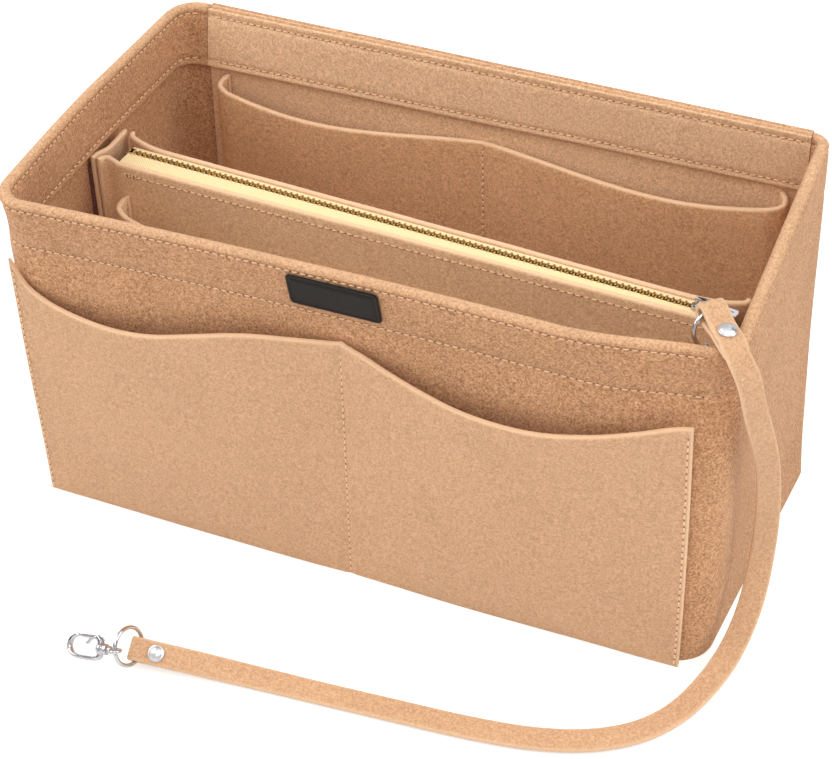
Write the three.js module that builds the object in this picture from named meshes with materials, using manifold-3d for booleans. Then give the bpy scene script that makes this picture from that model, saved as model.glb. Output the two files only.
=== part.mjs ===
// Purse organizer insert: an open felt box with a folded hem, an outer and an inner slip pocket,
// a lift-out zip pouch across the middle, and a felt key strap with a snap hook at each end.
// Millimetres. X runs along the long side, +Y is the back and +Z is up.

import * as THREE from 'three'
import { mergeVertices } from 'three/addons/utils/BufferGeometryUtils.js'
import Module from 'manifold-3d'

const wasm = await Module()
wasm.setup()

// Box shell
const box_length = 350
const box_depth = 176
const box_height = 180
const felt = 3
const gap = 0.3
const corner_radius = 16
const hem_depth = 32
const hem_groove = 3

// Front slip pocket
const pocket_inset = 15
const pocket_flange = 4
const pocket_mid_drop = 39
const pocket_end_drop = 33
const pocket_dip = 24
const pocket_bulge = 8

// Inner slip pocket, on the back wall
const inner_inset = 20
const inner_flange = 9
const inner_flange_inset = 4
const inner_stand = 9
const inner_foot_stand = 5.5
const inner_mid_drop = 42.5
const inner_end_drop = 39
const inner_flange_drop = 35
const inner_dip = 12

// Label
const label_length = 44
const label_height = 18.5
const label_thickness = 1.2
const label_corner = 2
const label_shift = -1.5
const label_drop = 14.5

// Zip pouch: distances in front of and behind the zip line
const pouch_height = 144
const pouch_set_back = -8
const pouch_slope_share = -0.063
const front_offset = 8.1
const front_bend = 4.7
const back_offset = 6
const back_flare = 8.5
const back_flare_length = 27
const back_flare_power = 2.4
const back_flange = 2.7
const gusset_jog = 2.7
const gusset_jog_length = 9

// Slip pocket on the front of the pouch
const purse_pocket_inset = 10.7
const purse_pocket_mid_drop = 21.3
const purse_pocket_end_drop = 19.3
const purse_pocket_flange_drop = 16.3
const purse_pocket_dip = 12

// Hook-and-loop pads
const loop_pad_thickness = 3.1
const hook_pad_thickness = 1.5
const pad_width = 9
const pad_bottom = 14
const pad_drop = 5.3

// Zip
const zip_rise = 1
const zip_inset = 9
const tooth_pitch = 3
const tooth_width = 1.1
const tooth_height = 2
const tooth_reach = 1.5
const spine_start = 1.5
const spine_width = 0.6
const tape_edge = 2.4
const tape_thickness = 0.6
const tape_leg = 8
const tape_overhang = 3
const stop_length = 3
const slider_inset = 7
const slider_length = 10
const slider_front_width = 8.4
const slider_rear_width = 6.6
const slider_shoulder_share = 0.6
const slider_nose_share = 0.7
const slider_plate = 1.1
const slider_lip = 0.6
const slider_lip_width = 0.9
const bail_length = 8.4
const bail_width = 1.8
const bail_height = 2.4
const bail_thickness = 1
const pull_bar = 1.1
const pull_width = 5
const pull_eye_width = 2.6
const pull_eye_length = 5
const pull_length = 15.5
const pull_droop_degrees = 5

// Key strap: the points that its middle runs through, down from the rim's front right corner and
// then along the surface from the foot of that corner, and the way that its face points at each
const strap_width = 11
const strap_thickness = 2.6
const strap_edge = 0.5
const strap_drop = [
  [-0.2, 2, 4.1],
  [5.3, 1.8, -7],
  [8.8, 6.5, -28],
  [11.5, 15, -50],
  [13, 22, -70],
  [13.5, 27, -90],
  [13.5, 30, -110],
]
const strap_lie = [
  [13, 30, 50],
  [12.5, 25, 33],
  [11, 16, 19],
  [8, 2, 9.5],
  [2.5, -17, 5.5],
  [-5, -34, 4],
  [-17, -49, 3.4],
  [-35, -61, 3.3],
  [-58, -69, 3.2],
  [-87, -73.8, 3.2],
  [-123, -77, 3.1],
  [-159, -80, 3.1],
  [-191, -82.9, 3.7],
  [-213, -86.3, 5.8],
]
const strap_facing = [
  [0.45, -0.4, 0.8],
  [0.75, -0.62, 0.2],
  [0.78, -0.62, 0.1],
  [0.75, -0.66, 0.05],
  [0.68, -0.73, 0.03],
  [0.6, -0.8, 0.03],
  [0.5, -0.86, 0.03],
  [0.4, -0.9, 0.1],
  [0.25, -0.9, 0.3],
  [0.1, -0.8, 0.55],
  [0, -0.6, 0.78],
  [-0.05, -0.4, 0.9],
  [-0.1, -0.25, 0.95],
  [-0.06, -0.2, 0.98],
  [0, -0.17, 0.98],
  [0, -0.17, 0.98],
  [0, -0.17, 0.98],
  [0, -0.17, 0.98],
  [0, -0.17, 0.98],
  [0, -0.28, 0.95],
  [0, -0.48, 0.87],
]
const near_fold_place = [-16.4, 21.1, 6.7]
const near_run = [0.664, -0.738, -0.12]
const near_facing = [0.163, -0.185, 0.97]
const near_rivet_place = 14
const near_tail = 24
const far_fold_place = [-241.6, -90.1, 7.5]
const far_run = [0.996, 0.085, 0]
const far_facing = [0, -0.58, 0.81]
const far_rivet_place = 9
const far_tail = 19
const eye_fold = 2.4

// Rivets
const rivet_cap = 8
const rivet_dome = 1.6
const rivet_back = 1.2
const rivet_shank = 3

// Rings on the strap
const ring_wire = 2
const ring_span = 19.5
const near_ring_hang = [0.2, -0.23, -0.95]
const near_ring_turn_degrees = 65
const far_ring_hang = [-0.356, -0.595, 0.716]
const far_ring_turn_degrees = 64

// Swivels and snap hooks: lengths along the hook from the middle of the swivel's eye
const swivel_play = 0.5
const swivel_wire = 1.8
const swivel_stem = 2.2
const swivel_head = 3.8
const swivel_head_thickness = 0.9
const collar_start = 5
const collar_width = 5.2
const frame_start = 7.6
const frame_end = 31
const frame_width = 12
const frame_thickness = 3.4
const mouth_start = 10.2
const mouth_end = 28.6
const mouth_width = 7.5
const gate_pivot = 12.2
const gate_end = 23.6
const gate_width = 2
const gate_thickness = 1.5
const gate_tab = 2.4
const gate_tab_shares = [0.3, 0.5, 0.6, 0.45]
const gate_pin = 1
const near_hook_run = [0.05, 0.1, -0.99]
const near_hook_facing = [0, 1, 0]
const far_hook_run = [-0.943, 0.16, -0.38]
const far_hook_facing = [0.3, -0.65, 0.7]

// Anchor ring and its tab, inside the front right corner and placed from it at the rim
const anchor_span = 18
const anchor_depth = 14
const anchor_place = [-14.5, 19.3, -34.7]
const tab_width = 10
const tab_thickness = 1.5
const tab_length = 24

// One overrun for every cut
const overrun = 1

const half_length = box_length / 2
const half_depth = box_depth / 2
const wall_x = half_length - felt
const wall_y = half_depth - felt
const hem_thickness = 2 * felt + gap / 2
const hem_bottom = box_height - hem_depth
const floor_top = felt + gap
const pouch_top = floor_top + pouch_height
const seam_x = half_length - corner_radius
const pocket_half_width = half_length - pocket_inset
const inner_half_width = wall_x - inner_inset

// Materials

function finish(name, colour, roughness, metalness) {
  const material = new THREE.MeshStandardMaterial({ color: colour, roughness, metalness })
  material.name = name
  return material
}

const felt_finish = finish('felt', 0xd2a274, 0.95, 0)
const pad_finish = finish('pad', 0x3a2a20, 0.9, 0)
const tape_finish = finish('zip_tape', 0xf2dba4, 0.9, 0)
const brass_finish = finish('teeth', 0xc9a04a, 0.35, 1)
const chrome_finish = finish('hardware', 0xd8d8dc, 0.12, 1)
const leather_finish = finish('label', 0x17171a, 0.5, 0)

const organizer = new THREE.Group()
organizer.position.y = (gap + pocket_bulge + felt) / 2

function add(name, geometry, material, parent = organizer) {
  const piece = new THREE.Mesh(geometry, material)
  piece.name = name
  parent.add(piece)
  return piece
}

function vector(values) {
  return new THREE.Vector3(...values)
}

// A group whose Z axis runs along one direction and whose Y axis is as near as can be to another.
function frameAt(place, along, facing, parent = organizer) {
  const z = along.clone().normalize()
  const x = facing.clone().cross(z).normalize()
  const y = z.clone().cross(x)
  const group = new THREE.Group()
  group.applyMatrix4(new THREE.Matrix4().makeBasis(x, y, z).setPosition(place))
  parent.add(group)
  return group
}

// Closed solids, joined and cut

function solid(geometry) {
  const bare = geometry.clone()
  bare.deleteAttribute('normal')
  bare.deleteAttribute('uv')
  const merged = mergeVertices(bare)
  const corners = new Float32Array(merged.attributes.position.array)
  const faces = new Uint32Array(merged.index.array)
  return new wasm.Manifold(new wasm.Mesh({ numProp: 3, vertProperties: corners, triVerts: faces }))
}

function geometryOf(body) {
  const mesh = body.getMesh()
  const geometry = new THREE.BufferGeometry()
  const corners = new Float32Array(mesh.vertProperties)
  geometry.setAttribute('position', new THREE.BufferAttribute(corners, mesh.numProp))
  geometry.setIndex(new THREE.BufferAttribute(new Uint32Array(mesh.triVerts), 1))
  return geometry
}

function joined(pieces) {
  return geometryOf(pieces.map(solid).reduce((whole, next) => whole.add(next)))
}

function cut(geometry, cutters) {
  return geometryOf(cutters.map(solid).reduce((rest, next) => rest.subtract(next), solid(geometry)))
}

// A closed skin over rings of points: each end is capped, or the last ring meets the first.
function loft(rings, endless = false) {
  const sides = rings[0].length
  const positions = rings.flat().flatMap((point) => [point.x, point.y, point.z])
  const faces = []
  for (let i = 0; i < rings.length - (endless ? 0 : 1); i += 1) {
    const here = i * sides
    const next = ((i + 1) % rings.length) * sides
    for (let j = 0; j < sides; j += 1) {
      const k = (j + 1) % sides
      faces.push(here + j, here + k, next + k)
      faces.push(here + j, next + k, next + j)
    }
  }
  if (!endless) {
    faces.push(...capFaces(rings[0], 0).reverse())
    faces.push(...capFaces(rings[rings.length - 1], (rings.length - 1) * sides))
  }
  const geometry = new THREE.BufferGeometry()
  geometry.setAttribute('position', new THREE.Float32BufferAttribute(positions, 3))
  geometry.setIndex(faces)
  return facingOut(geometry)
}

// Triangles over one flat ring, drawn in the ring's own plane.
function capFaces(ring, first) {
  const normal = new THREE.Vector3()
  const middle = ring[0]
  for (let j = 1; j < ring.length - 1; j += 1) {
    const a = ring[j].clone().sub(middle)
    const b = ring[j + 1].clone().sub(middle)
    normal.add(a.cross(b))
  }
  normal.normalize()
  const across = ring[1].clone().sub(ring[0]).normalize()
  const up = normal.clone().cross(across)
  const flat = ring.map((point) => new THREE.Vector2(point.dot(across), point.dot(up)))
  return THREE.ShapeUtils.triangulateShape(flat, []).flat().map((corner) => first + corner)
}

// Turns every face of a closed skin outwards, by the sign of the volume that it holds.
function facingOut(geometry) {
  const place = geometry.attributes.position
  const index = geometry.index.array
  let volume = 0
  for (let i = 0; i < index.length; i += 3) {
    const [a, b, c] = [0, 1, 2].map((k) => new THREE.Vector3().fromBufferAttribute(place, index[i + k]))
    volume += a.dot(b.cross(c))
  }
  if (volume < 0) {
    index.reverse()
  }
  return geometry
}

function spread(from, to, steps) {
  return Array.from({ length: steps + 1 }, (_, i) => from + ((to - from) * i) / steps)
}

function smooth(value) {
  const t = Math.min(1, Math.max(0, value))
  return t * t * (3 - 2 * t)
}

// An upright panel of felt: placeAt(station, share) is a point of its middle surface, and both
// faces stand off it level by half the thickness, mitred where the panel folds.
function feltPanel(stations, placeAt, thickness, rows = 5) {
  const rings = stations.map((station, i) => {
    const faces = [[], []]
    for (const share of spread(0, 1, rows)) {
      const here = placeAt(station, share)
      const before = i > 0 ? placeAt(stations[i - 1], share) : null
      const after = i < stations.length - 1 ? placeAt(stations[i + 1], share) : null
      const offset = mitre(before, here, after).multiplyScalar(thickness / 2)
      faces[0].push(here.clone().sub(offset))
      faces[1].push(here.clone().add(offset))
    }
    return [...faces[0], ...faces[1].reverse()]
  })
  return loft(rings)
}

function mitre(before, here, after) {
  const normals = []
  for (const [from, to] of [[before, here], [here, after]]) {
    if (from && to) {
      normals.push(new THREE.Vector3(from.y - to.y, to.x - from.x, 0).normalize())
    }
  }
  const middle = normals[0].clone().add(normals[normals.length - 1]).normalize()
  return middle.divideScalar(middle.dot(normals[0]))
}

function roundedShape(width, height, radius) {
  const x = width / 2 - radius
  const y = height / 2 - radius
  const shape = new THREE.Shape()
  shape.absarc(x, y, radius, 0, Math.PI / 2)
  shape.absarc(-x, y, radius, Math.PI / 2, Math.PI)
  shape.absarc(-x, -y, radius, Math.PI, 1.5 * Math.PI)
  shape.absarc(x, -y, radius, 1.5 * Math.PI, 2 * Math.PI)
  return shape
}

function outline(points) {
  return new THREE.Shape(points.map(([x, y]) => new THREE.Vector2(x, y)))
}

function slab(shape, depth, curveSegments = 5) {
  return new THREE.ExtrudeGeometry(shape, { depth, bevelEnabled: false, curveSegments })
}

function block(width, depth, height) {
  return new THREE.BoxGeometry(width, depth, height)
}

// A cylinder along Z, from one level to another.
function bar(diameter, from, to, sides = 16) {
  const geometry = new THREE.CylinderGeometry(diameter / 2, diameter / 2, to - from, sides)
  return geometry.rotateX(Math.PI / 2).translate(0, 0, (from + to) / 2)
}

// Shell: the front and both sides are one strip of felt, turned over at the rim as a hem.

function foldedHem() {
  const radius = hem_thickness / 2
  const rim = spread(0, Math.PI, 6).map((angle) => {
    return [radius + radius * Math.cos(angle), box_height - radius + radius * Math.sin(angle)]
  })
  return [[0, 0], [felt, 0], [felt, hem_bottom], [hem_thickness, hem_bottom], ...rim]
}

function doubledHem() {
  return [
    [0, 0],
    [felt, 0],
    [felt, hem_bottom],
    [hem_thickness, hem_bottom],
    [hem_thickness, box_height],
    [felt + gap, box_height],
    [hem_thickness / 2, box_height - hem_groove],
    [felt - gap, box_height],
    [0, box_height],
  ]
}

function wallRing(profile, x, y, inward_x, inward_y) {
  return profile.map(([inward, z]) => vector([x + inward_x * inward, y + inward_y * inward, z]))
}

const wrap_rings = []
const corner_y = half_depth - corner_radius
const wrap_corners = [
  [-seam_x, corner_y, 0.5 * Math.PI],
  [-seam_x, -corner_y, Math.PI],
  [seam_x, -corner_y, 1.5 * Math.PI],
  [seam_x, corner_y, 2 * Math.PI],
]
for (const [x, y, start] of wrap_corners) {
  for (const angle of spread(start, start + Math.PI / 2, 5)) {
    const out_x = Math.cos(angle)
    const out_y = Math.sin(angle)
    const place_x = x + corner_radius * out_x
    const place_y = y + corner_radius * out_y
    wrap_rings.push(wallRing(foldedHem(), place_x, place_y, -out_x, -out_y))
  }
}
add('wall_wrap', loft(wrap_rings), felt_finish)

const back_ends = [-1, 1].map((side) => side * (seam_x - gap))
const back_rings = back_ends.map((x) => wallRing(doubledHem(), x, half_depth, 0, -1))
add('back_wall', loft(back_rings), felt_finish)

const base_radius = corner_radius - felt - gap
const base_shape = roundedShape(2 * (wall_x - gap), 2 * (wall_y - gap), base_radius)
add('base_panel', slab(base_shape, felt), felt_finish)

// The height of a scooped pocket mouth, t running from 0 at the middle to 1 at the end.
function scoop(t, mid_height, end_height, dip) {
  const dip_place_power = 1.4
  const level = mid_height + (end_height - mid_height) * t
  return level - dip * Math.sin(Math.PI * t ** dip_place_power)
}

// Front slip pocket: one panel sewn to the front wall at its ends, its middle and its foot.

function frontPocketAt(x, share) {
  const t = Math.min(1, Math.abs(x) / pocket_half_width)
  const height = scoop(t, box_height - pocket_mid_drop, box_height - pocket_end_drop, pocket_dip)
  const swell = pocket_bulge * Math.sin(Math.PI * t) * Math.sqrt(share)
  return vector([x, -half_depth - gap - felt / 2 - swell, share * height])
}

const pocket_edge = pocket_half_width + pocket_flange
const pocket_stations = [
  -pocket_edge,
  ...spread(-pocket_half_width, pocket_half_width, 24),
  pocket_edge,
]
add('front_pocket', feltPanel(pocket_stations, frontPocketAt, felt), felt_finish)

// A slip pocket whose ends turn back to its wall and lie under the panel as sewn flanges.
// wallAt(x, stand) gives the level place that is a distance clear of the wall.
function foldedPocket(half_width, heights, foot, wallAt) {
  const stations = []
  const end_x = half_width
  const flange_x = half_width - inner_flange_inset
  stations.push({ x: flange_x - inner_flange + inner_flange_inset, stands: 0, top: heights.flange })
  stations.push({ x: flange_x, stands: 0, top: heights.flange })
  stations.push({ x: end_x, stands: 1, top: heights.end })
  for (const t of spread(1, 0, 10).slice(1)) {
    const top = scoop(t, heights.mid, heights.end, heights.dip)
    stations.push({ x: half_width * t, stands: 1 - (1 - t) ** 2, top })
  }
  const mirrored = stations.slice(0, -1).map((station) => ({ ...station, x: -station.x }))
  const placeAt = (station, share) => {
    const stand = station.stands * (inner_foot_stand + (inner_stand - inner_foot_stand) * share)
    const [x, y] = wallAt(station.x, stand)
    return vector([x, y, foot + share * (station.top - foot)])
  }
  return feltPanel([...mirrored, ...stations.reverse()], placeAt, felt, 4)
}

const inner_heights = {
  mid: box_height - inner_mid_drop,
  end: box_height - inner_end_drop,
  flange: box_height - inner_flange_drop,
  dip: inner_dip,
}
const onBackWall = (x, stand) => [x, wall_y - gap - felt / 2 - stand]
const inner_pocket = foldedPocket(inner_half_width, inner_heights, floor_top, onBackWall)
add('back_inner_pocket', inner_pocket, felt_finish)

const label = slab(roundedShape(label_length, label_height, label_corner), label_thickness)
label.rotateX(Math.PI / 2).translate(label_shift, -half_depth - gap, box_height - label_drop)
add('label_patch', label, leather_finish)

// Zip pouch

function zipLine(x) {
  return pouch_set_back + pouch_slope_share * x
}

const hook_pad_outer = wall_x - gap - loop_pad_thickness - gap
const gusset_outer = hook_pad_outer - hook_pad_thickness - gap
const gusset_front_x = gusset_outer - felt / 2
const gusset_back_x = gusset_front_x - gusset_jog
const front_end_x = gusset_front_x - felt - gap
const back_end_x = gusset_back_x - felt - gap
const end_front = -front_offset - front_bend
const end_back = back_offset + back_flare
const zip_half_length = back_end_x - zip_inset
const slider_place = zip_half_length - slider_inset

// Every pouch panel is drawn as [x, distance behind the zip line] and stands upright.
function pouchAt([x, behind], share) {
  return vector([x, zipLine(x) + behind, floor_top + share * pouch_height])
}

function mirroredPath(half) {
  return [...half, ...half.map(([x, behind]) => [-x, behind]).reverse()]
}

const front_half = spread(0, Math.PI / 2, 4).map((angle) => {
  const x = -front_end_x + front_bend * (1 - Math.cos(angle))
  return [x, end_front + front_bend * Math.sin(angle)]
})
add('pouch_front_panel', feltPanel(mirroredPath(front_half), pouchAt, felt), felt_finish)

const back_half = [[-back_end_x, end_back], [-back_end_x + gap, end_back - back_flange]]
for (const t of spread(0, 1, 5).slice(1)) {
  const x = -back_end_x + gap + back_flare_length * t
  back_half.push([x, back_offset + (back_flare - back_flange) * (1 - t) ** back_flare_power])
}
add('pouch_back_panel', feltPanel(mirroredPath(back_half), pouchAt, felt), felt_finish)

for (const [name, side] of [['left', -1], ['right', 1]]) {
  const path = spread(0, 1, 7).map((t) => {
    const behind = end_front + (end_back - end_front) * t
    const turned = smooth((behind - end_front - front_bend / 2) / gusset_jog_length)
    return [side * (gusset_front_x - gusset_jog * turned), behind]
  })
  add(`pouch_${name}_gusset`, feltPanel(path, pouchAt, felt), felt_finish)
}

const bottom_back = mirroredPath(back_half.slice(2).map(([x, behind]) => {
  return [x, (behind + back_offset) / 2 - felt / 2 - gap]
}))
const bottom_front = [1, -1].map((side) => {
  return [side * (front_end_x - front_bend - felt / 2), felt / 2 + gap - front_offset]
})
const bottom_path = [...bottom_back, ...bottom_front]
const bottom_shape = outline(bottom_path.map(([x, behind]) => [x, zipLine(x) + behind]))
add('pouch_bottom', slab(bottom_shape, felt).translate(0, 0, floor_top), felt_finish)

const purse_heights = {
  mid: pouch_top - purse_pocket_mid_drop,
  end: pouch_top - purse_pocket_end_drop,
  flange: pouch_top - purse_pocket_flange_drop,
  dip: purse_pocket_dip,
}
const onPouch = (x, stand) => [x, zipLine(x) - front_offset - felt - gap - stand]
const purse_pocket = foldedPocket(front_end_x - purse_pocket_inset, purse_heights, floor_top, onPouch)
add('pouch_front_pocket', purse_pocket, felt_finish)

// Hook-and-loop pads: the loop side is sewn to the box, the hook side to the pouch.
for (const [name, side] of [['left', -1], ['right', 1]]) {
  const y = zipLine(side * gusset_front_x) + end_front + pad_width / 2
  const pad_height = pouch_top - pad_drop - pad_bottom
  const z = pad_bottom + pad_height / 2
  const loop_x = side * (wall_x - gap - loop_pad_thickness / 2)
  const hook_x = side * (hook_pad_outer - hook_pad_thickness / 2)
  const loop_pad = block(loop_pad_thickness, pad_width, pad_height).translate(loop_x, y, z)
  const hook_pad = block(hook_pad_thickness, pad_width, pad_height).translate(hook_x, y, z)
  add(`wall_${name}_pad`, loop_pad, pad_finish)
  add(`pouch_${name}_pad`, hook_pad, pad_finish)
}

// Zip, drawn along its own line: X runs along the teeth.

const zip = new THREE.Group()
zip.position.set(0, pouch_set_back, pouch_top - zip_rise)
zip.rotation.z = Math.atan(pouch_slope_share)
organizer.add(zip)

function comb(side) {
  const points = []
  const spine_end = spine_start + spine_width
  const first = -zip_half_length + (side > 0 ? tooth_pitch / 2 : 0)
  const count = Math.floor((slider_place + zip_half_length) / tooth_pitch)
  for (let i = 0; i < count; i += 1) {
    const x = first + i * tooth_pitch
    points.push([x, spine_start], [x, -tooth_reach + gap])
    points.push([x + tooth_width, -tooth_reach + gap], [x + tooth_width, spine_start])
  }
  const last_x = points[points.length - 1][0]
  const ring = [...points, [last_x, spine_end], [first, spine_end]]
  const geometry = slab(outline(ring), tooth_height).translate(0, 0, -tooth_height / 2)
  return side > 0 ? geometry : geometry.rotateX(Math.PI)
}

add('front_teeth', comb(-1), brass_finish, zip)
add('back_teeth', comb(1), brass_finish, zip)

function tape(side, panel_offset) {
  const outer = panel_offset - felt / 2 - gap
  const profile = outline([
    [tape_edge, tape_thickness / 2],
    [outer, tape_thickness / 2],
    [outer, -tape_leg],
    [outer - tape_thickness, -tape_leg],
    [outer - tape_thickness, -tape_thickness / 2],
    [tape_edge, -tape_thickness / 2],
  ])
  const length = 2 * (zip_half_length + tape_overhang)
  const geometry = slab(profile, length).rotateX(Math.PI / 2).rotateZ(Math.PI / 2)
  geometry.translate(-length / 2, 0, 0)
  return side > 0 ? geometry : geometry.rotateZ(Math.PI)
}

add('front_tape', tape(-1, front_offset), tape_finish, zip)
add('back_tape', tape(1, back_offset), tape_finish, zip)

const stop_width = 2 * (tape_edge - gap)
const end_stop = block(stop_length, stop_width, tooth_height)
end_stop.translate(-zip_half_length - gap - stop_length / 2, 0, 0)
add('zip_end_stop', end_stop, brass_finish, zip)
for (const [name, side] of [['front', -1], ['back', 1]]) {
  const top_stop = block(stop_length, stop_width / 2 - gap, tooth_height)
  top_stop.translate(zip_half_length - stop_length / 2, side * (stop_width / 4 + gap / 2), 0)
  add(`zip_${name}_top_stop`, top_stop, brass_finish, zip)
}

// Slider: a shield-shaped plate above the teeth and one below, each with a lip down its sides.

const slider = new THREE.Group()
slider.position.x = slider_place
zip.add(slider)

function sliderPlate(front_width) {
  const half = slider_length / 2
  const rear = slider_rear_width / 2
  const front = front_width / 2
  const shield = outline([
    [-half, -rear],
    [0, -rear],
    [half * slider_shoulder_share, -front],
    [half, -front * slider_nose_share],
    [half, front * slider_nose_share],
    [half * slider_shoulder_share, front],
    [0, rear],
    [-half, rear],
  ])
  const plate = slab(shield, slider_plate)
  const lips = [-1, 1].map((side) => {
    const lip = block(slider_length / 2, slider_lip_width, slider_plate + slider_lip)
    const lip_y = side * (rear - slider_lip_width / 2)
    return lip.translate(-half / 2, lip_y, (slider_plate - slider_lip) / 2)
  })
  return joined([plate, ...lips])
}

const plate_gap = tooth_height / 2 + gap
const bail_top = slider_plate + bail_height
const bail_outline = outline([
  [-bail_length / 2, 0],
  [-bail_length / 2, bail_top + bail_thickness],
  [bail_length / 2, bail_top + bail_thickness],
  [bail_length / 2, 0],
])
const bail_window = new THREE.Path([
  new THREE.Vector2(bail_thickness - bail_length / 2, slider_plate),
  new THREE.Vector2(bail_length / 2 - bail_thickness, slider_plate),
  new THREE.Vector2(bail_length / 2 - bail_thickness, bail_top),
  new THREE.Vector2(bail_thickness - bail_length / 2, bail_top),
])
bail_outline.holes.push(bail_window)
const bail = slab(bail_outline, bail_width).rotateX(Math.PI / 2).translate(0, bail_width / 2, 0)
const slider_top = joined([sliderPlate(slider_front_width), bail]).translate(0, 0, plate_gap)
add('slider_top', slider_top, chrome_finish, slider)
const slider_base = sliderPlate(slider_rear_width).rotateX(Math.PI).translate(0, 0, -plate_gap)
add('slider_base', slider_base, chrome_finish, slider)

// Pull: a bar that turns under the slider's bridge, two eye legs and a flat tongue.
const pull = new THREE.Group()
pull.position.z = plate_gap + slider_plate + bail_height / 2
pull.rotation.y = THREE.MathUtils.degToRad(pull_droop_degrees)
slider.add(pull)
const pull_rear = pull_bar / 2
const pull_shape = outline([
  [-pull_rear, -pull_width / 2],
  [pull_length - pull_rear, -pull_width / 2 + gap],
  [pull_length, 0],
  [pull_length - pull_rear, pull_width / 2 - gap],
  [-pull_rear, pull_width / 2],
])
pull_shape.holes.push(new THREE.Path([
  new THREE.Vector2(pull_rear, -pull_eye_width / 2),
  new THREE.Vector2(pull_rear, pull_eye_width / 2),
  new THREE.Vector2(pull_eye_length, pull_eye_width / 2),
  new THREE.Vector2(pull_eye_length, -pull_eye_width / 2),
]))
add('slider_pull', slab(pull_shape, pull_bar).translate(0, 0, -pull_bar / 2), chrome_finish, pull)

// Key strap. Each end folds round its ring and lies back under itself, held by a rivet.

const layer = strap_thickness / 2 + gap / 2
const fold_radius = eye_fold + strap_thickness / 2

// One end of the strap, from its tail, round the fold, to the layer on top.
function strapEnd(place, run, facing, rivet_place, tail) {
  const along = vector(run).normalize()
  const across = vector(facing).cross(along).normalize()
  const up = along.clone().cross(across)
  const at = (inward, level) => ({
    place: place.clone().addScaledVector(along, inward).addScaledVector(up, level),
    across,
  })
  const pressed = rivet_place - rivet_cap / 2 - gap
  const points = [at(tail, -layer), at(rivet_place, -layer), at(pressed, -layer)]
  points.push(at(pressed / 2, -(layer + fold_radius) / 2))
  for (const angle of spread(-Math.PI / 2, Math.PI / 2, 6)) {
    points.push(at(-fold_radius * Math.cos(angle), fold_radius * Math.sin(angle)))
  }
  points.push(at(pressed / 2, (layer + fold_radius) / 2), at(pressed, layer))
  points.push(at(rivet_place, layer), at(rivet_place + rivet_cap / 2 + gap, layer))
  return { points, along, across, up }
}

// A place measured from the box's front right corner, at one level.
function atCorner([x, y, z], level = 0) {
  return vector([half_length + x, y - half_depth, level + z])
}

const near_fold = atCorner(near_fold_place, box_height)
const far_fold = atCorner(far_fold_place)
const near = strapEnd(near_fold, near_run, near_facing, near_rivet_place, near_tail)
const far = strapEnd(far_fold, far_run, far_facing, far_rivet_place, far_tail)

const dropping = strap_drop.map((place) => atCorner(place, box_height))
const lying = strap_lie.map((place) => atCorner(place))
const middle = [...dropping, ...lying]
const middle_points = middle.map((place, i) => {
  const before = middle[Math.max(0, i - 1)]
  const after = middle[Math.min(middle.length - 1, i + 1)]
  const along = after.clone().sub(before)
  return { place, across: vector(strap_facing[i]).cross(along).normalize() }
})

const far_points = far.points.map((point) => ({ ...point, across: point.across.clone().negate() }))
const strap_points = [...near.points, ...middle_points, ...far_points.reverse()]
const strap_line = new THREE.CatmullRomCurve3(strap_points.map((point) => point.place))
const bends = strap_points.length - 1
const first_free = near.points.length - 1
const last_free = first_free + middle.length

function strapSection(knot) {
  const here = Math.min(bends - 1, Math.floor(knot))
  const place = strap_line.getPoint(knot / bends)
  const along = strap_line.getTangent(knot / bends)
  const across = strap_points[here].across.clone().lerp(strap_points[here + 1].across, knot - here)
  across.addScaledVector(along, -across.dot(along)).normalize()
  const up = along.clone().cross(across)
  const half = strap_width / 2
  const rise = strap_thickness / 2
  const corners = [
    [half, rise - strap_edge],
    [half - strap_edge, rise],
    [strap_edge - half, rise],
    [-half, rise - strap_edge],
    [-half, strap_edge - rise],
    [strap_edge - half, -rise],
    [half - strap_edge, -rise],
    [half, strap_edge - rise],
  ]
  return corners.map(([x, y]) => place.clone().addScaledVector(across, x).addScaledVector(up, y))
}

const strap_rings = []
for (let knot = 0; knot <= bends; knot += 1) {
  strap_rings.push(strapSection(knot))
  if (knot >= first_free && knot < last_free) {
    strap_rings.push(strapSection(knot + 0.5))
  }
}

const rivet_underside = layer + strap_thickness / 2 + gap
const rivet_holes = []
for (const [name, end, rivet_place, fold] of [
  ['near', near, near_rivet_place, near_fold],
  ['far', far, far_rivet_place, far_fold],
]) {
  const place = fold.clone().addScaledVector(end.along, rivet_place)
  const frame = frameAt(place, end.up, end.across)
  const hole_depth = rivet_underside + overrun
  const hole = bar(rivet_shank + 2 * gap, -hole_depth, hole_depth, 12)
  rivet_holes.push(hole.applyMatrix4(frame.matrix))
  const cap = rivet_cap / 2
  const dome = spread(0, Math.PI / 2, 4).map((angle) => {
    const rise = rivet_dome * Math.sin(angle)
    return new THREE.Vector2(cap * Math.cos(angle), rivet_underside + rise)
  })
  dome[dome.length - 1].x = 0
  const profile = [
    new THREE.Vector2(0, -rivet_underside - rivet_back),
    new THREE.Vector2(cap - rivet_back / 2, -rivet_underside - rivet_back),
    new THREE.Vector2(cap, -rivet_underside - rivet_back / 2),
    new THREE.Vector2(cap, -rivet_underside),
    new THREE.Vector2(rivet_shank / 2, -rivet_underside),
    new THREE.Vector2(rivet_shank / 2, rivet_underside),
    ...dome,
  ]
  const rivet = new THREE.LatheGeometry(profile, 20).rotateX(Math.PI / 2)
  add(`${name}_rivet`, rivet, chrome_finish, frame)
}
add('strap', cut(loft(strap_rings), rivet_holes), felt_finish)

// Rings, swivels and snap hooks

const ring_radius = (ring_span - ring_wire) / 2
const ring_bow = ring_radius - Math.sqrt(ring_radius ** 2 - (strap_width / 2) ** 2)

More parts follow.
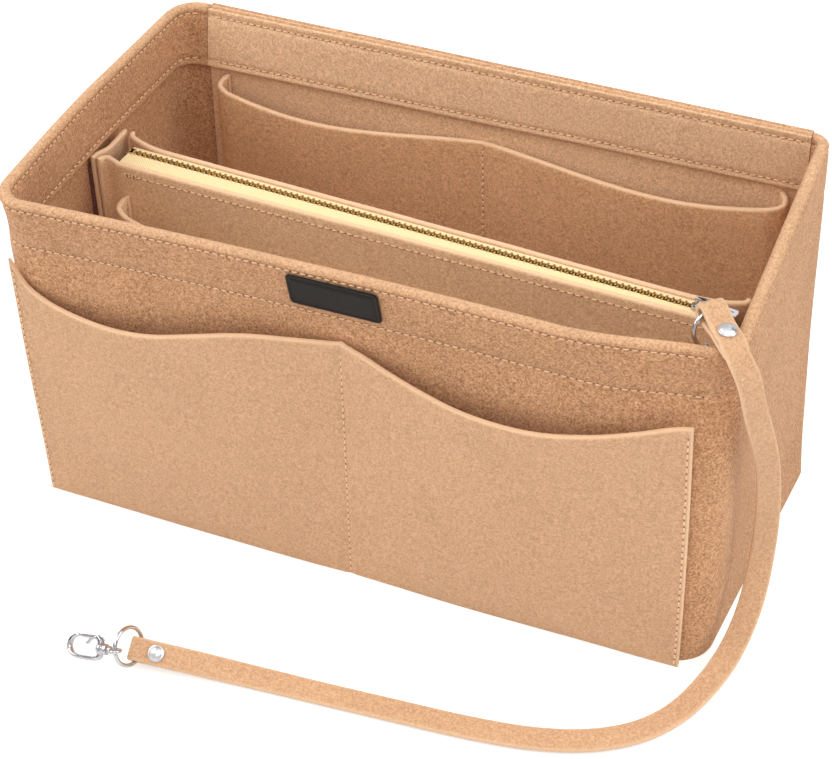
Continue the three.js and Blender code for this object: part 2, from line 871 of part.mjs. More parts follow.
// A ring hung in the strap's fold, set so that its bow lies evenly in it, and the place on it
// where its swivel rides.
function ringAt(name, fold, across, hang_values, turn_degrees) {
  const hang = vector(hang_values)
  hang.addScaledVector(across, -hang.dot(across)).normalize()
  const centre = fold.clone().addScaledVector(hang, ring_radius - ring_bow / 2)
  const frame = frameAt(centre, across.clone().cross(hang), hang)
  add(`${name}_ring`, new THREE.TorusGeometry(ring_radius, ring_wire / 2, 8, 28), chrome_finish, frame)
  const turn = THREE.MathUtils.degToRad(turn_degrees)
  const seat = centre.clone()
  seat.addScaledVector(across, -ring_radius * Math.cos(turn))
  seat.addScaledVector(hang, ring_radius * Math.sin(turn))
  const wire_run = across.clone().multiplyScalar(Math.sin(turn)).addScaledVector(hang, Math.cos(turn))
  return { seat, wire_run }
}

// Swivel: an eye round the ring and a stem whose head turns inside the hook.
function swivel(name, seat, run, wire_run) {
  const frame = frameAt(seat, vector(run), wire_run)
  const eye_radius = ring_wire / 2 + swivel_play + swivel_wire / 2
  const eye = new THREE.TorusGeometry(eye_radius, swivel_wire / 2, 8, 20).rotateX(Math.PI / 2)
  const stem = bar(swivel_stem, eye_radius, mouth_start + gap + swivel_head_thickness, 12)
  const head_start = mouth_start + gap
  const head = bar(swivel_head, head_start, head_start + swivel_head_thickness)
  add(`${name}_swivel`, joined([eye, stem, head]), chrome_finish, frame)
}

// Snap hook: a collar, a long loop with its gate side open, and a fork for the gate.
function hook(name, seat, run, facing) {
  const frame = frameAt(seat, vector(run), vector(facing))
  const side_middle = (frame_width + mouth_width) / 4
  const loop_shape = roundedShape(frame_width, frame_end - frame_start, frame_width / 2 - gap)
  const mouth = roundedShape(mouth_width, mouth_end - mouth_start, mouth_width / 2 - gap)
  const mouth_lift = (mouth_start + mouth_end - frame_start - frame_end) / 2
  const mouth_points = mouth.getPoints(6).map((point) => point.add(new THREE.Vector2(0, mouth_lift)))
  loop_shape.holes.push(new THREE.Path(mouth_points))
  const loop = slab(loop_shape, frame_thickness, 6)
  loop.translate(0, (frame_start + frame_end) / 2, -frame_thickness / 2).rotateX(Math.PI / 2)
  const shoulder = block(collar_width, frame_thickness, mouth_start - frame_start)
  shoulder.translate(0, 0, (frame_start + mouth_start) / 2)
  const side_width = (frame_width - mouth_width) / 2
  const lug = block(side_width, frame_thickness, mouth_start - frame_start + gate_width)
  lug.translate(-side_middle, 0, gate_pivot - gate_width / 2 - gap)
  const collar = bar(collar_width, collar_start, mouth_start)
  const bore = bar(swivel_stem + 2 * gap, collar_start - overrun, mouth_start + overrun, 12)
  const head_room = bar(swivel_head + 2 * gap, mouth_start, mouth_start + swivel_head, 16)
  const gate_gap_start = gate_pivot + gate_width / 2 + gap
  const gate_gap = block(side_width + 2 * overrun, 2 * frame_thickness, gate_end - gate_gap_start + gap)
  gate_gap.translate(-side_middle - gap, 0, (gate_end + gap + gate_gap_start) / 2)
  const fork_start = gate_pivot - gate_width / 2 - 2 * gap
  const slot_length = gate_end - fork_start
  const slot = block(side_width + 2 * overrun, gate_thickness + 2 * gap, slot_length)
  slot.translate(-side_middle - gap, 0, fork_start + slot_length / 2)
  const pin_hole = bar(gate_pin + 2 * gap, -frame_thickness, frame_thickness, 12)
  pin_hole.rotateX(Math.PI / 2).translate(-side_middle, 0, gate_pivot)
  const body = joined([loop, shoulder, lug, collar])
  add(`${name}_hook`, cut(body, [bore, head_room, gate_gap, slot, pin_hole]), chrome_finish, frame)

  const half = gate_width / 2
  const gate_reach = gate_end - gate_pivot
  const [tab_root, tab_tip, tab_back, tab_end] = gate_tab_shares.map((s) => s * gate_reach)
  const gate_shape = outline([
    [half, 0],
    [half, tab_root],
    [half + gate_tab, tab_tip],
    [half + gate_tab - gap, tab_back],
    [half, tab_end],
    [half - gap, gate_reach],
    [-half, gate_reach],
    [-half, 0],
  ])
  const arm = slab(gate_shape, gate_thickness).translate(0, 0, -gate_thickness / 2)
  const knuckle = bar(gate_width, -gate_thickness / 2, gate_thickness / 2, 14)
  const gate_hole = bar(gate_pin + 2 * gap, -gate_thickness, gate_thickness, 12)
  const gate = cut(joined([arm, knuckle]), [gate_hole])
  gate.rotateX(Math.PI / 2).translate(-side_middle, 0, gate_pivot)
  add(`${name}_gate`, gate, chrome_finish, frame)
  const pin = bar(gate_pin, -frame_thickness / 2, frame_thickness / 2, 12)
  pin.rotateX(Math.PI / 2).translate(-side_middle, 0, gate_pivot)
  add(`${name}_gate_pin`, pin, chrome_finish, frame)
}

const near_grip = ringAt('near', near_fold, near.across, near_ring_hang, near_ring_turn_degrees)
swivel('near', near_grip.seat, near_hook_run, near_grip.wire_run)
hook('near', near_grip.seat, near_hook_run, near_hook_facing)

const far_grip = ringAt('far', far_fold, far.across, far_ring_hang, far_ring_turn_degrees)
swivel('far', far_grip.seat, far_hook_run, far_grip.wire_run)
hook('far', far_grip.seat, far_hook_run, far_hook_facing)

// Anchor: a ring with one straight side, held to the right wall by a looped tab of felt.

const tab_bore = ring_wire / 2 + gap
const tab_outer = tab_bore + tab_thickness
const tab_x = wall_x - gap - tab_outer
const anchor_arc = atCorner(anchor_place, box_height)
const anchor_across_x = tab_x - anchor_arc.x
const anchor_drop = Math.sqrt(anchor_depth ** 2 - anchor_across_x ** 2)
const anchor_bar = vector([tab_x, anchor_arc.y, anchor_arc.z - anchor_drop])
const anchor_radius = (anchor_span - ring_wire) / 2

// The wire's middle: a straight bar, two short legs and a round bow, in the ring's own plane.
const anchor_points = spread(0, Math.PI, 12).map((angle) => {
  const level = anchor_depth - anchor_radius + anchor_radius * Math.sin(angle)
  return vector([anchor_radius * Math.cos(angle), level, 0])
})
anchor_points.push(vector([-anchor_radius, 0, 0]), vector([anchor_radius, 0, 0]))
const anchor_rings = anchor_points.map((point, i) => {
  const before = anchor_points[(i + anchor_points.length - 1) % anchor_points.length]
  const after = anchor_points[(i + 1) % anchor_points.length]
  const outward = mitre(before, point, after)
  return spread(0, 2 * Math.PI, 8).slice(1).map((angle) => {
    const reach = outward.clone().multiplyScalar((Math.cos(angle) * ring_wire) / 2)
    return point.clone().add(reach).setZ((Math.sin(angle) * ring_wire) / 2)
  })
})
const anchor_lean = anchor_arc.clone().sub(anchor_bar).normalize()
const anchor_normal = vector([0, 1, 0]).cross(anchor_lean)
const anchor_frame = frameAt(anchor_bar, anchor_normal, anchor_lean)
add('anchor_ring', loft(anchor_rings, true), chrome_finish, anchor_frame)

const tab_frame = new THREE.Group()
tab_frame.position.copy(anchor_bar)
organizer.add(tab_frame)
const tab_loop = bar(2 * tab_outer, -tab_width / 2, tab_width / 2, 20)
const tab_plate = block(tab_thickness, tab_length, tab_width)
tab_plate.translate(tab_outer - tab_thickness / 2, -tab_length / 2, 0)
const tab_hole = bar(2 * tab_bore, -tab_width / 2 - overrun, tab_width / 2 + overrun, 16)
const tab = cut(joined([tab_loop, tab_plate]), [tab_hole])
add('anchor_tab', tab.rotateX(Math.PI / 2), felt_finish, tab_frame)

export default organizer
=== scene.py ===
# Purse organizer insert: an open felt box with slip pockets, a lift-out zip pouch, and a felt key
# strap with a snap hook at each end. Metres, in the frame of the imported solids: X along the long
# side, +Y to the back, +Z up.

from math import copysign, cos, dist, exp, pi, radians, sin, sqrt

import bpy
import numpy as np
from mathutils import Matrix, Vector, noise


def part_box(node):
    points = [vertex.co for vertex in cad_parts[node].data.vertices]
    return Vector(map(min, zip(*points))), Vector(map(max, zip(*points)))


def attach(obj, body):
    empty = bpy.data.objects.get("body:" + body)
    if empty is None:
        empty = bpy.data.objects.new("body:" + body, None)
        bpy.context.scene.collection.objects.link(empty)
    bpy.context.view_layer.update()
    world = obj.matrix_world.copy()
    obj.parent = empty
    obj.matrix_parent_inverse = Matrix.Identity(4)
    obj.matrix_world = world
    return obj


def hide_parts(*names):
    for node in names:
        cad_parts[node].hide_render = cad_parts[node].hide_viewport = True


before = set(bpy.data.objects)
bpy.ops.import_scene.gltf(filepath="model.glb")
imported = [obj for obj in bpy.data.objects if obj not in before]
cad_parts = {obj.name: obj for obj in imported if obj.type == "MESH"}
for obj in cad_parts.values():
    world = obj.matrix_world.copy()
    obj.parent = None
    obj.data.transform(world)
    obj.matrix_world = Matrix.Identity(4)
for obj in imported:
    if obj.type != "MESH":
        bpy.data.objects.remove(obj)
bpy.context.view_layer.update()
mm = 0.001


# Camera. It stands to the right of the front and looks down into the box through a long lens, and
# its shift is only what the picture's crop needs.
picture_width = 832
lens_in_pixels = 2130.8
camera_data = bpy.data.cameras.new("camera")
camera_data.sensor_width = 36
camera_data.lens = lens_in_pixels / picture_width * camera_data.sensor_width
camera_data.shift_x = 14.76 / picture_width
camera_data.shift_y = -2.63 / picture_width


def linked(name, data):
    """A new object of the scene that holds the data."""
    made = bpy.data.objects.new(name, data)
    bpy.context.scene.collection.objects.link(made)
    return made


camera = linked("camera", camera_data)
camera.location = (0.32299, -0.72601, 0.72871)
camera.rotation_euler = [radians(turn) for turn in (49.7128, 1.6777, 23.1569)]
bpy.context.scene.camera = camera
bpy.context.scene.view_settings.view_transform = "Standard"


# Key strap. One band of felt, 11 mm wide, cut from the sheet with bare edges. Each end folds round
# its ring and lies back under itself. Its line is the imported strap's own route.

class Value:
    """One output of a node, so that sums on it read as plain ones."""

    def __init__(self, nodes, socket):
        self.nodes = nodes
        self.socket = socket

    def __add__(self, other):
        return self.nodes.sum_with("ADD", self, other)

    def __mul__(self, other):
        return self.nodes.sum_with("MULTIPLY", self, other)

    def __rsub__(self, other):
        return self.nodes.sum_with("SUBTRACT", other, self)

    __radd__ = __add__
    __rmul__ = __mul__


class Nodes:
    """A node tree, whose nodes are made by kind with their settings and what comes into them."""

    def __init__(self, owner):
        owner.use_nodes = True
        self.tree = owner.node_tree

    def node(self, kind, settings, inputs, output=0):
        made = self.tree.nodes.new(kind)
        for name, value in settings.items():
            setattr(made, name, value)
        for socket, value in inputs.items():
            if isinstance(value, Value):
                self.tree.links.new(value.socket, made.inputs[socket])
            else:
                made.inputs[socket].default_value = value
        return Value(self, made.outputs[output])

    def show(self, value, output):
        self.tree.links.new(value.socket, self.tree.nodes[output].inputs["Surface"])

    def sum_with(self, operation, first, second):
        return self.node("ShaderNodeMath", {"operation": operation}, {0: first, 1: second})


class Paint(Nodes):
    """One material: its fixed values are set on the shader, and nodes feed the rest."""

    def __init__(self, name, **fixed):
        self.material = bpy.data.materials.new(name)
        super().__init__(self.material)
        self.shader = self.tree.nodes["Principled BSDF"]
        for socket, value in fixed.items():
            self.shader.inputs[socket.replace("_", " ")].default_value = value

    def place(self):
        return self.node("ShaderNodeTexCoord", {}, {}, "Object")

    def grain(self, scale, detail, roughness):
        values = {"Vector": self.place(), "Scale": scale, "Detail": detail, "Roughness": roughness}
        return self.node("ShaderNodeTexNoise", {}, values)

    def between(self, share, first, second):
        return self.node("ShaderNodeMix", {"data_type": "RGBA"}, {0: share, 6: first, 7: second}, 2)

    def blend(self, share, first, second):
        self.feed(Base_Color=self.between(share, first, second))

    def steps(self, share, low, high):
        values = {0: share, 1: low, 2: high, 3: 0.0, 4: 1.0}
        return self.node("ShaderNodeMapRange", {"clamp": True}, values)

    def feed(self, **sockets):
        for socket, value in sockets.items():
            self.tree.links.new(value.socket, self.shader.inputs[socket.replace("_", " ")])

    def rise(self, height, distance, strength=1.0):
        values = {"Height": height, "Distance": distance, "Strength": strength}
        self.feed(Normal=self.node("ShaderNodeBump", {}, values))


def rgb(red, green, blue):
    """A colour as the eye reads it on a screen, 0 to 255, turned into light."""
    light = [((c / 255 + 0.055) / 1.055) ** 2.4 for c in (red, green, blue)]
    return (*light, 1.0)


def scaled(colour, *shares):
    return tuple(c * share for c, share in zip(colour, shares)) + (1.0,)


felt_edge_and_highlight_colour = rgb(236, 199, 162)
sheen_colour = rgb(255, 236, 214)


def felt_material(name, colour, contrast):
    """Pressed felt: short fibres in every direction, a faint cloudiness, and paler cut edges; on top of the
    walls' rim the same pale colour is a painted highlight.
    """
    paint = Paint(name, Roughness=0.93, Sheen_Weight=0.16, Sheen_Roughness=0.5, Sheen_Tint=sheen_colour,
                  Specular_IOR_Level=0.15)
    fibre = paint.grain(980, 3, 0.7)
    flock = paint.grain(400, 3, 0.6)
    cloud = paint.grain(24, 2, 0.5)
    dark = scaled(colour, *(1 - loss * contrast for loss in (0.95, 1.15, 1.35)))
    gain = min(1 + 0.7 * contrast, 1 / max(colour[:3]))
    pale = scaled(colour, gain, gain, gain)
    mottle = paint.steps(0.72 * fibre + 0.2 * flock + 0.08 * cloud, 0.34, 0.64)
    body = paint.between(mottle, dark, pale)
    edge = paint.node("ShaderNodeAttribute", {"attribute_name": "cut_edge_and_rim_highlight"}, {}, "Fac")
    paint.blend(edge * (0.75 + 0.25 * fibre), body, felt_edge_and_highlight_colour)
    paint.rise(0.6 * fibre + 0.4 * flock, 0.55 * mm, 0.9)
    return paint.material


# Every piece is cut from the same felt. The walls' copy is darker, as painted shade, though its stronger
# mottling is the felt's grain; the copies for the pouch's front and pocket, the back wall's inside and the
# inner pocket are lighter, as painted light.
felt = felt_material("felt", rgb(208, 167, 132), 0.28)
napped_felt_painted_shade = felt_material("napped_felt_painted_shade", rgb(196, 152, 116), 0.58)
pouch_felt_painted_light = felt_material("pouch_felt_painted_light", rgb(252, 216, 174), 0.42)
back_felt_painted_light = felt_material("back_felt_painted_light", rgb(233, 196, 159), 0.36)
pocket_felt_painted_light = felt_material("pocket_felt_painted_light", rgb(220, 176, 134), 0.4)


def mesh_piece(name, points, faces, material, body, replaced=(), edge=None):
    """A smooth mesh object that rides on one body and stands for the named solids."""
    mesh = bpy.data.meshes.new(name)
    mesh.from_pydata([tuple(point) for point in points], [], [tuple(face) for face in faces])
    mesh.materials.append(material)
    mesh.shade_smooth()
    if edge is not None:
        attribute = mesh.attributes.new("cut_edge_and_rim_highlight", "FLOAT", "POINT")
        attribute.data.foreach_set("value", np.asarray(edge, np.float32).ravel())
    piece = linked(name, mesh)
    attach(piece, body)
    if replaced:
        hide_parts(*replaced)
    return piece


def tube_faces(rings, sides, endless=False, first=0):
    """Quads over rings of points, with a face over each end unless the last meets the first."""
    faces = []
    for i in range(rings - (0 if endless else 1)):
        here = first + i * sides
        after = first + ((i + 1) % rings) * sides
        for j in range(sides):
            k = (j + 1) % sides
            faces.append((here + j, here + k, after + k, after + j))
    if not endless:
        faces.append(tuple(range(first + sides - 1, first - 1, -1)))
        last = first + (rings - 1) * sides
        faces.append(tuple(range(last, last + sides)))
    return faces


def unit(vectors):
    vectors = np.asarray(vectors, float)
    return vectors / np.linalg.norm(vectors, axis=-1, keepdims=True)


def distances(points, axis=0):
    """How far along its line every point is, for one line or for a grid of lines."""
    steps = np.linalg.norm(np.diff(points, axis=axis), axis=-1)
    return np.insert(np.cumsum(steps, axis=axis), 0, 0, axis=axis)


def points_at(places, run, line):
    """Points of a line at some distances along it; run holds those of its own points."""
    return np.stack([np.interp(places, run, line[:, k]) for k in range(3)], axis=-1)


def smooth_line(knots, values, pieces):
    """A centripetal spline through the knots. The values are carried along evenly."""
    def mix(t, start, end, first, second):
        return ((end - t) * first + (t - start) * second) / (end - start)

    knots = np.asarray(knots, float)
    ends = [2 * knots[0] - knots[1], *knots, 2 * knots[-1] - knots[-2]]
    line, carried = [], []
    for i in range(1, len(ends) - 2):
        p0, p1, p2, p3 = ends[i - 1:i + 3]
        spans = [np.linalg.norm(b - a) ** 0.5 for a, b in ((p0, p1), (p1, p2), (p2, p3))]
        t1, t2, t3 = np.cumsum(spans)
        for share in np.arange(pieces) / pieces:
            t = t1 + (t2 - t1) * share
            a1, a2, a3 = mix(t, 0, t1, p0, p1), mix(t, t1, t2, p1, p2), mix(t, t2, t3, p2, p3)
            b1, b2 = mix(t, 0, t2, a1, a2), mix(t, t1, t3, a2, a3)
            line.append(mix(t, t1, t2, b1, b2))
            carried.append(values[i - 1] * (1 - share) + values[i] * share)
    line.append(knots[-1])
    carried.append(values[-1])
    return np.array(line), np.array(carried)


strap_width = 11 * mm
strap_thickness = 2.6 * mm
# From the middle of the box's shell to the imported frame, whose middle takes in the outer pocket.
box_shift = np.array([0, 5.65, 0])
strap_route = [
    (174.8, -86, 184.1), (180.3, -86.2, 173), (183.8, -81.5, 152), (186.5, -73, 130),
    (188, -66, 110), (188.5, -61, 90), (188.5, -58, 70), (188, -58, 50), (187.5, -63, 33),
    (186, -72, 19), (183, -86, 9.5), (177.5, -105, 5.5), (170, -122, 4), (158, -137, 3.4),
    (140, -149, 3.3), (117, -157, 3.2), (88, -161.8, 3.2), (52, -165, 3.1), (16, -168, 3.1),
    (-16, -170.9, 3.7), (-38, -174.3, 5.8),
]
strap_facing = [
    (0.45, -0.4, 0.8), (0.75, -0.62, 0.2), (0.78, -0.62, 0.1), (0.75, -0.66, 0.05),
    (0.68, -0.73, 0.03), (0.6, -0.8, 0.03), (0.5, -0.86, 0.03), (0.4, -0.9, 0.1),
    (0.25, -0.9, 0.3), (0.1, -0.8, 0.55), (0, -0.6, 0.78), (-0.05, -0.4, 0.9),
    (-0.1, -0.25, 0.95), (-0.06, -0.2, 0.98), *[(0, -0.17, 0.98)] * 5, (0, -0.28, 0.95),
    (0, -0.48, 0.87),
]
rivet_cap = 8
layer_gap = 0.3
strap_layer = (strap_thickness / mm + layer_gap) / 2
fold_radius = 2.4 + strap_thickness / mm / 2


def strap_end(place, run, facing, rivet_place, tail):
    """The strap's line from its tail, round the fold, to the layer that lies on top."""
    along = unit(run)
    across = unit(np.cross(facing, along))
    up = np.cross(along, across)
    pressed = rivet_place - rivet_cap / 2 - layer_gap
    steps = [(tail, -strap_layer), (rivet_place, -strap_layer), (pressed, -strap_layer)]
    steps.append((pressed / 2, -(strap_layer + fold_radius) / 2))
    for angle in np.linspace(-pi / 2, pi / 2, 7):
        steps.append((-fold_radius * cos(angle), fold_radius * sin(angle)))
    steps += [(pressed / 2, (strap_layer + fold_radius) / 2), (pressed, strap_layer)]
    steps += [(rivet_place, strap_layer), (rivet_place + rivet_cap / 2 + layer_gap, strap_layer)]
    line = [np.array(place) + along * inward + up * level for inward, level in steps]
    return {"line": line, "place": np.array(place), "along": along, "across": across, "up": up}


rivet_places = {"near": 14, "far": 9}
near_end = strap_end((158.6, -66.9, 186.7), (0.664, -0.738, -0.12), (0.163, -0.185, 0.97),
                     rivet_places["near"], 24)
far_end = strap_end((-66.6, -178.1, 7.5), (0.996, 0.085, 0), (0, -0.58, 0.81), rivet_places["far"], 19)
route = np.array(strap_route, float)
last = len(route) - 1
route_run = np.array([route[min(i + 1, last)] - route[max(i - 1, 0)] for i in range(last + 1)])
route_across = unit(np.cross(np.array(strap_facing), route_run))
knots = [*near_end["line"], *route, *far_end["line"][::-1]]
acrosses = [near_end["across"]] * len(near_end["line"]) + list(route_across)
acrosses += [-far_end["across"]] * len(far_end["line"])
strap_line, strap_across = smooth_line(knots, acrosses, 6)
strap_line = (strap_line + box_shift) * mm
strap_run = unit(np.gradient(strap_line, axis=0))
strap_across = unit(strap_across - strap_run * np.sum(strap_across * strap_run, axis=1, keepdims=True))
strap_up = np.cross(strap_run, strap_across)

# Across the band: flat faces, rounded cut edges.
half = strap_width / 2
rise = strap_thickness / 2
section = []
for x, y, edge in ((half - 0.1 * mm, 0, 1), (half, 0.5, 1), (half - 0.45 * mm, 0.92, 0.4),
                   (half - 1.4 * mm, 1, 0), (half * 0.35, 1, 0)):
    section.append((x, y * rise, edge))
upper = section + [(-x, y, e) for x, y, e in section[::-1]]
outline = upper + [(x, -y, e) for x, y, e in upper[::-1] if y > 0]
strap_points, strap_edge = [], []
for place, across, up in zip(strap_line, strap_across, strap_up):
    for x, y, edge in outline:
        strap_points.append(place + across * x + up * y)
        strap_edge.append(edge)
strap = mesh_piece("key_strap", strap_points, tube_faces(len(strap_line), len(outline)), felt, "box",
                   ["strap"], edge=strap_edge)


# Rivets. Plated steel caps pressed through both layers of the strap: a low dome on top with a
# rolled rim, and a flat washer underneath.

def metal_material(name, colour, roughness):
    """Bright plating: nearly a mirror, with faint rubbing and a little tarnish in patches."""
    paint = Paint(name, Metallic=1.0, Specular_IOR_Level=0.5)
    rub = paint.grain(2600, 2, 0.6)
    patch = paint.grain(160, 2, 0.5)
    dull = scaled(colour, 0.82, 0.82, 0.82)
    paint.blend(paint.steps(patch, 0.35, 0.65), dull, colour)
    paint.feed(Roughness=roughness + 0.12 * rub * patch)
    paint.rise(rub, 0.02 * mm, 0.25)
    return paint.material


chrome = metal_material("plated_steel", rgb(226, 226, 230), 0.09)


def lathed(name, profile, place, axis, body, replaced=(), material=chrome, sides=40):
    """A turned piece: profile holds (radius, level) along the axis, both in millimetres."""
    turn = Vector(axis).to_track_quat("Z", "Y").to_matrix()
    points = []
    for radius, level in profile:
        for angle in 2 * pi * np.arange(sides) / sides:
            local = Vector((radius * cos(angle), radius * sin(angle), level)) * mm
            points.append(Vector(place) + turn @ local)
    return mesh_piece(name, points, tube_faces(len(profile), sides), material, body, replaced)


cap_profile = [(1.2, -4.05), (3.3, -4.05), (3.85, -3.75), (4.0, -3.3), (3.7, -3.05), (1.5, -3.05),
               (1.5, 3.05), (3.75, 3.05), (4.0, 3.3), (3.92, 3.6), (3.55, 3.72), (3.3, 3.7),
               (3.05, 3.95), (2.3, 4.4), (1.4, 4.68), (0.5, 4.78), (0.05, 4.8)]
cap_steel = metal_material("cap_steel", rgb(246, 246, 248), 0.33)
for side, end in (("near", near_end), ("far", far_end)):
    place = (end["place"] + end["along"] * rivet_places[side] + box_shift) * mm
    lathed(f"{side}_strap_rivet", cap_profile, place, end["up"], "box", [f"{side}_rivet"],
                          cap_steel)


# Rings, swivels and snap hooks. Die-cast and plated: a round ring in the strap's fold, a swivel eye
# that rides on it, and a long hook whose thumb gate turns on a pin. Both ends carry the same set.

def swept(name, line, ups, widths, heights, body, replaced=(), endless=False, sides=16, power=2.0):
    """A plated bar of rounded section along a line; widths lie across it and heights along ups."""
    line = np.asarray(line, float)
    run = np.gradient(line, axis=0)
    if endless:
        run = np.roll(line, -1, axis=0) - np.roll(line, 1, axis=0)
    run = unit(run)
    ups = np.broadcast_to(np.asarray(ups, float), line.shape)
    across = unit(np.cross(run, ups))
    points = []
    for place, side, up, width, height in zip(line, across, np.cross(across, run), widths, heights):
        for angle in 2 * pi * np.arange(sides) / sides:
            c, s = cos(angle), sin(angle)
            x = copysign(abs(c) ** (2 / power), c) * width / 2
            y = copysign(abs(s) ** (2 / power), s) * height / 2
            points.append(place + side * x + up * y)
    faces = tube_faces(len(line), sides, endless)
    return mesh_piece(name, points, faces, chrome, body, replaced)


def circle(centre, first, second, radius, steps):
    """An endless line round a centre, whose plane holds the two directions."""
    angles = 2 * pi * np.arange(steps)[:, None] / steps
    return centre + radius * (np.cos(angles) * first + np.sin(angles) * second)


def joined(name, pieces, body, replaced):
    """Several plated meshes as one piece."""
    points, faces = [], []
    for piece in pieces:
        first = len(points)
        points += [vertex.co.copy() for vertex in piece.data.vertices]
        faces += [[first + corner for corner in polygon.vertices] for polygon in piece.data.polygons]
        bpy.data.objects.remove(piece)
    return mesh_piece(name, points, faces, chrome, body, replaced)


ring_wire = 2.0
ring_radius = (19.5 - ring_wire) / 2
ring_bow = ring_radius - sqrt(ring_radius ** 2 - (strap_width / mm / 2) ** 2)

# For each end: the way that its ring hangs, the turn of the swivel's seat round the ring in degrees,
# the way that its hook runs, and the way that the hook's flat side faces.
hang_sets = {
    "near": (near_end, (0.2, -0.23, -0.95), 65, (0.05, 0.1, -0.99), (0, 1, 0)),
    "far": (far_end, (-0.356, -0.595, 0.716), 64, (-0.943, 0.16, -0.38), (0.3, -0.65, 0.7)),
}
gate_width = 1.5
for side, (end, hang, turn, hook_run, hook_facing) in hang_sets.items():
    across = end["across"]
    hang = np.array(hang)
    hang = unit(hang - across * np.dot(hang, across))
    centre = end["place"] + hang * (ring_radius - ring_bow / 2)
    turn = radians(turn)
    seat = centre - across * ring_radius * cos(turn) + hang * ring_radius * sin(turn)
    wire_run = across * sin(turn) + hang * cos(turn)
    centre = (centre + box_shift) * mm
    seat = (seat + box_shift) * mm
    bodies = {"near": ("box", "box", "near_hook_body", "near_gate_body"),
              "far": ("far_ring_body", "far_swivel_body", "far_hook_body", "far_gate_body")}[side]

    line = circle(centre, across, hang, ring_radius * mm, 72)
    wire = [ring_wire * mm] * len(line)
    ring = swept(f"{side}_split_ring", line, unit(np.cross(across, hang)), wire, wire, bodies[0],
                 [f"{side}_ring"], endless=True)

    z = unit(hook_run)
    x = unit(np.cross(hook_facing, z))
    y = np.cross(z, x)

    def at(right, facing, along):
        """A point of the hook: right and facing lie across it, along runs to its nose."""
        return seat + (x * right + y * facing + z * along) * mm

    def flat_line(places, girths, pieces, facing=0):
        """A smooth line in the hook's own plane, or beside it, with its girths in metres."""
        line, girth = smooth_line([at(a, facing, b) for a, b in places], np.array(girths), pieces)
        return line, girth * mm

    def flat_bar(name, places, girths, pieces, width, body, facing=0):
        line, girth = flat_line(places, girths, pieces, facing)
        return swept(name, line, y, girth, [width * mm] * len(line), body, power=3)

    eye_x = unit(np.cross(wire_run, z))
    eye_line = circle(seat, eye_x, z, 2.4 * mm, 40)
    eye_wire = [1.8 * mm] * len(eye_line)
    eye = swept("eye", eye_line, wire_run, eye_wire, eye_wire, bodies[1], endless=True, sides=12)
    stem_profile = [(1.2, 2.2), (1.9, 2.9), (1.9, 3.6), (1.1, 4.2), (1.1, 10.5), (1.9, 10.5), (1.9, 11.0),
                    (1.2, 11.4), (0.05, 11.4)]
    stem = lathed("stem", stem_profile, seat, z, bodies[1])
    swivel = joined(f"{side}_swivel_eye", [eye, stem], bodies[1], [f"{side}_swivel"])

    collar_profile = [(1.45, 5.0), (2.2, 5.0), (2.6, 5.4), (2.65, 6.4), (2.35, 6.9), (2.35, 7.3),
                      (2.8, 7.7), (3.0, 8.6), (3.0, 9.6), (2.6, 10.1), (1.45, 10.2)]
    collar = lathed("collar", collar_profile, seat, z, bodies[2])
    bow_places = [(-1.6, 9.3), (1.6, 9.2), (3.8, 9.9), (4.7, 12.2), (4.95, 16), (5.0, 20), (4.85, 24),
                  (4.0, 27.4), (2.1, 29.5), (-0.2, 30.0), (-2.5, 29.2), (-4.1, 27.2), (-4.75, 25.4),
                  (-4.85, 24.0)]
    bow_girths = [(2.6, 3.0), (2.6, 3.2), (2.4, 3.4), (2.2, 3.3), (2.1, 3.2), (2.1, 3.1), (2.1, 3.1),
                  (2.2, 3.1), (2.4, 3.1), (2.4, 3.0), (2.3, 2.8), (2.0, 2.5), (1.7, 2.2), (1.1, 1.5)]
    line, girth = flat_line(bow_places, bow_girths, 6)
    bow = swept("bow", line, y, girth[:, 0], girth[:, 1], bodies[2], power=2.6)
    lug_places = [(-1.0, 9.3), (-2.8, 9.4), (-4.2, 10.3), (-4.9, 11.7), (-4.95, 12.9)]
    cheeks = [flat_bar("cheek", lug_places, [2.6, 2.4, 2.3, 2.3, 1.8], 5, 0.75, bodies[2], lift)
              for lift in (-1.25, 1.25)]
    hook = joined(f"{side}_snap_hook", [collar, bow, *cheeks], bodies[2], [f"{side}_hook"])

    pin_profile = [(0.05, -1.75), (0.9, -1.72), (0.95, -1.5), (0.5, -1.45), (0.5, 1.45), (0.95, 1.5),
                   (0.9, 1.72), (0.05, 1.75)]
    pin = lathed(f"{side}_pin", pin_profile, at(-4.875, 0, 12.2), y, bodies[2], [f"{side}_gate_pin"],
                 sides=20)
    arm_places = [(-4.7, 11.3), (-4.8, 12.4), (-4.85, 15), (-4.8, 18), (-4.85, 21), (-4.9, 23.3)]
    arm = flat_bar("arm", arm_places, [1.2, 2.0, 1.9, 1.8, 1.7, 1.2], 6, gate_width, bodies[3])
    thumb_places = [(-4.4, 15.2), (-3.6, 16.4), (-2.7, 17.4), (-1.9, 18.2), (-1.6, 18.9)]
    thumb = flat_bar("thumb", thumb_places, [1.5, 1.4, 1.3, 1.5, 0.9], 5, gate_width, bodies[3])
    gate = joined(f"{side}_thumb_gate", [arm, thumb], bodies[3], [f"{side}_gate"])

(near_end["place"] + box_shift) * mm


# Walls. The front and both sides are one strip of 3 mm felt, turned over at the rim into a hem
# that is sewn along its rim and along its lower edge.
half_length = 175.0
half_depth = 88.0
box_height = 180.0
felt_thickness = 3.0
felt_gap = 0.3
hem = 6.15
hem_bottom = 148.0
seams = (151.5, 176.0)
thread_depth = felt_thickness / 2 + 0.05
dent_level, dent_reach = 151, 19


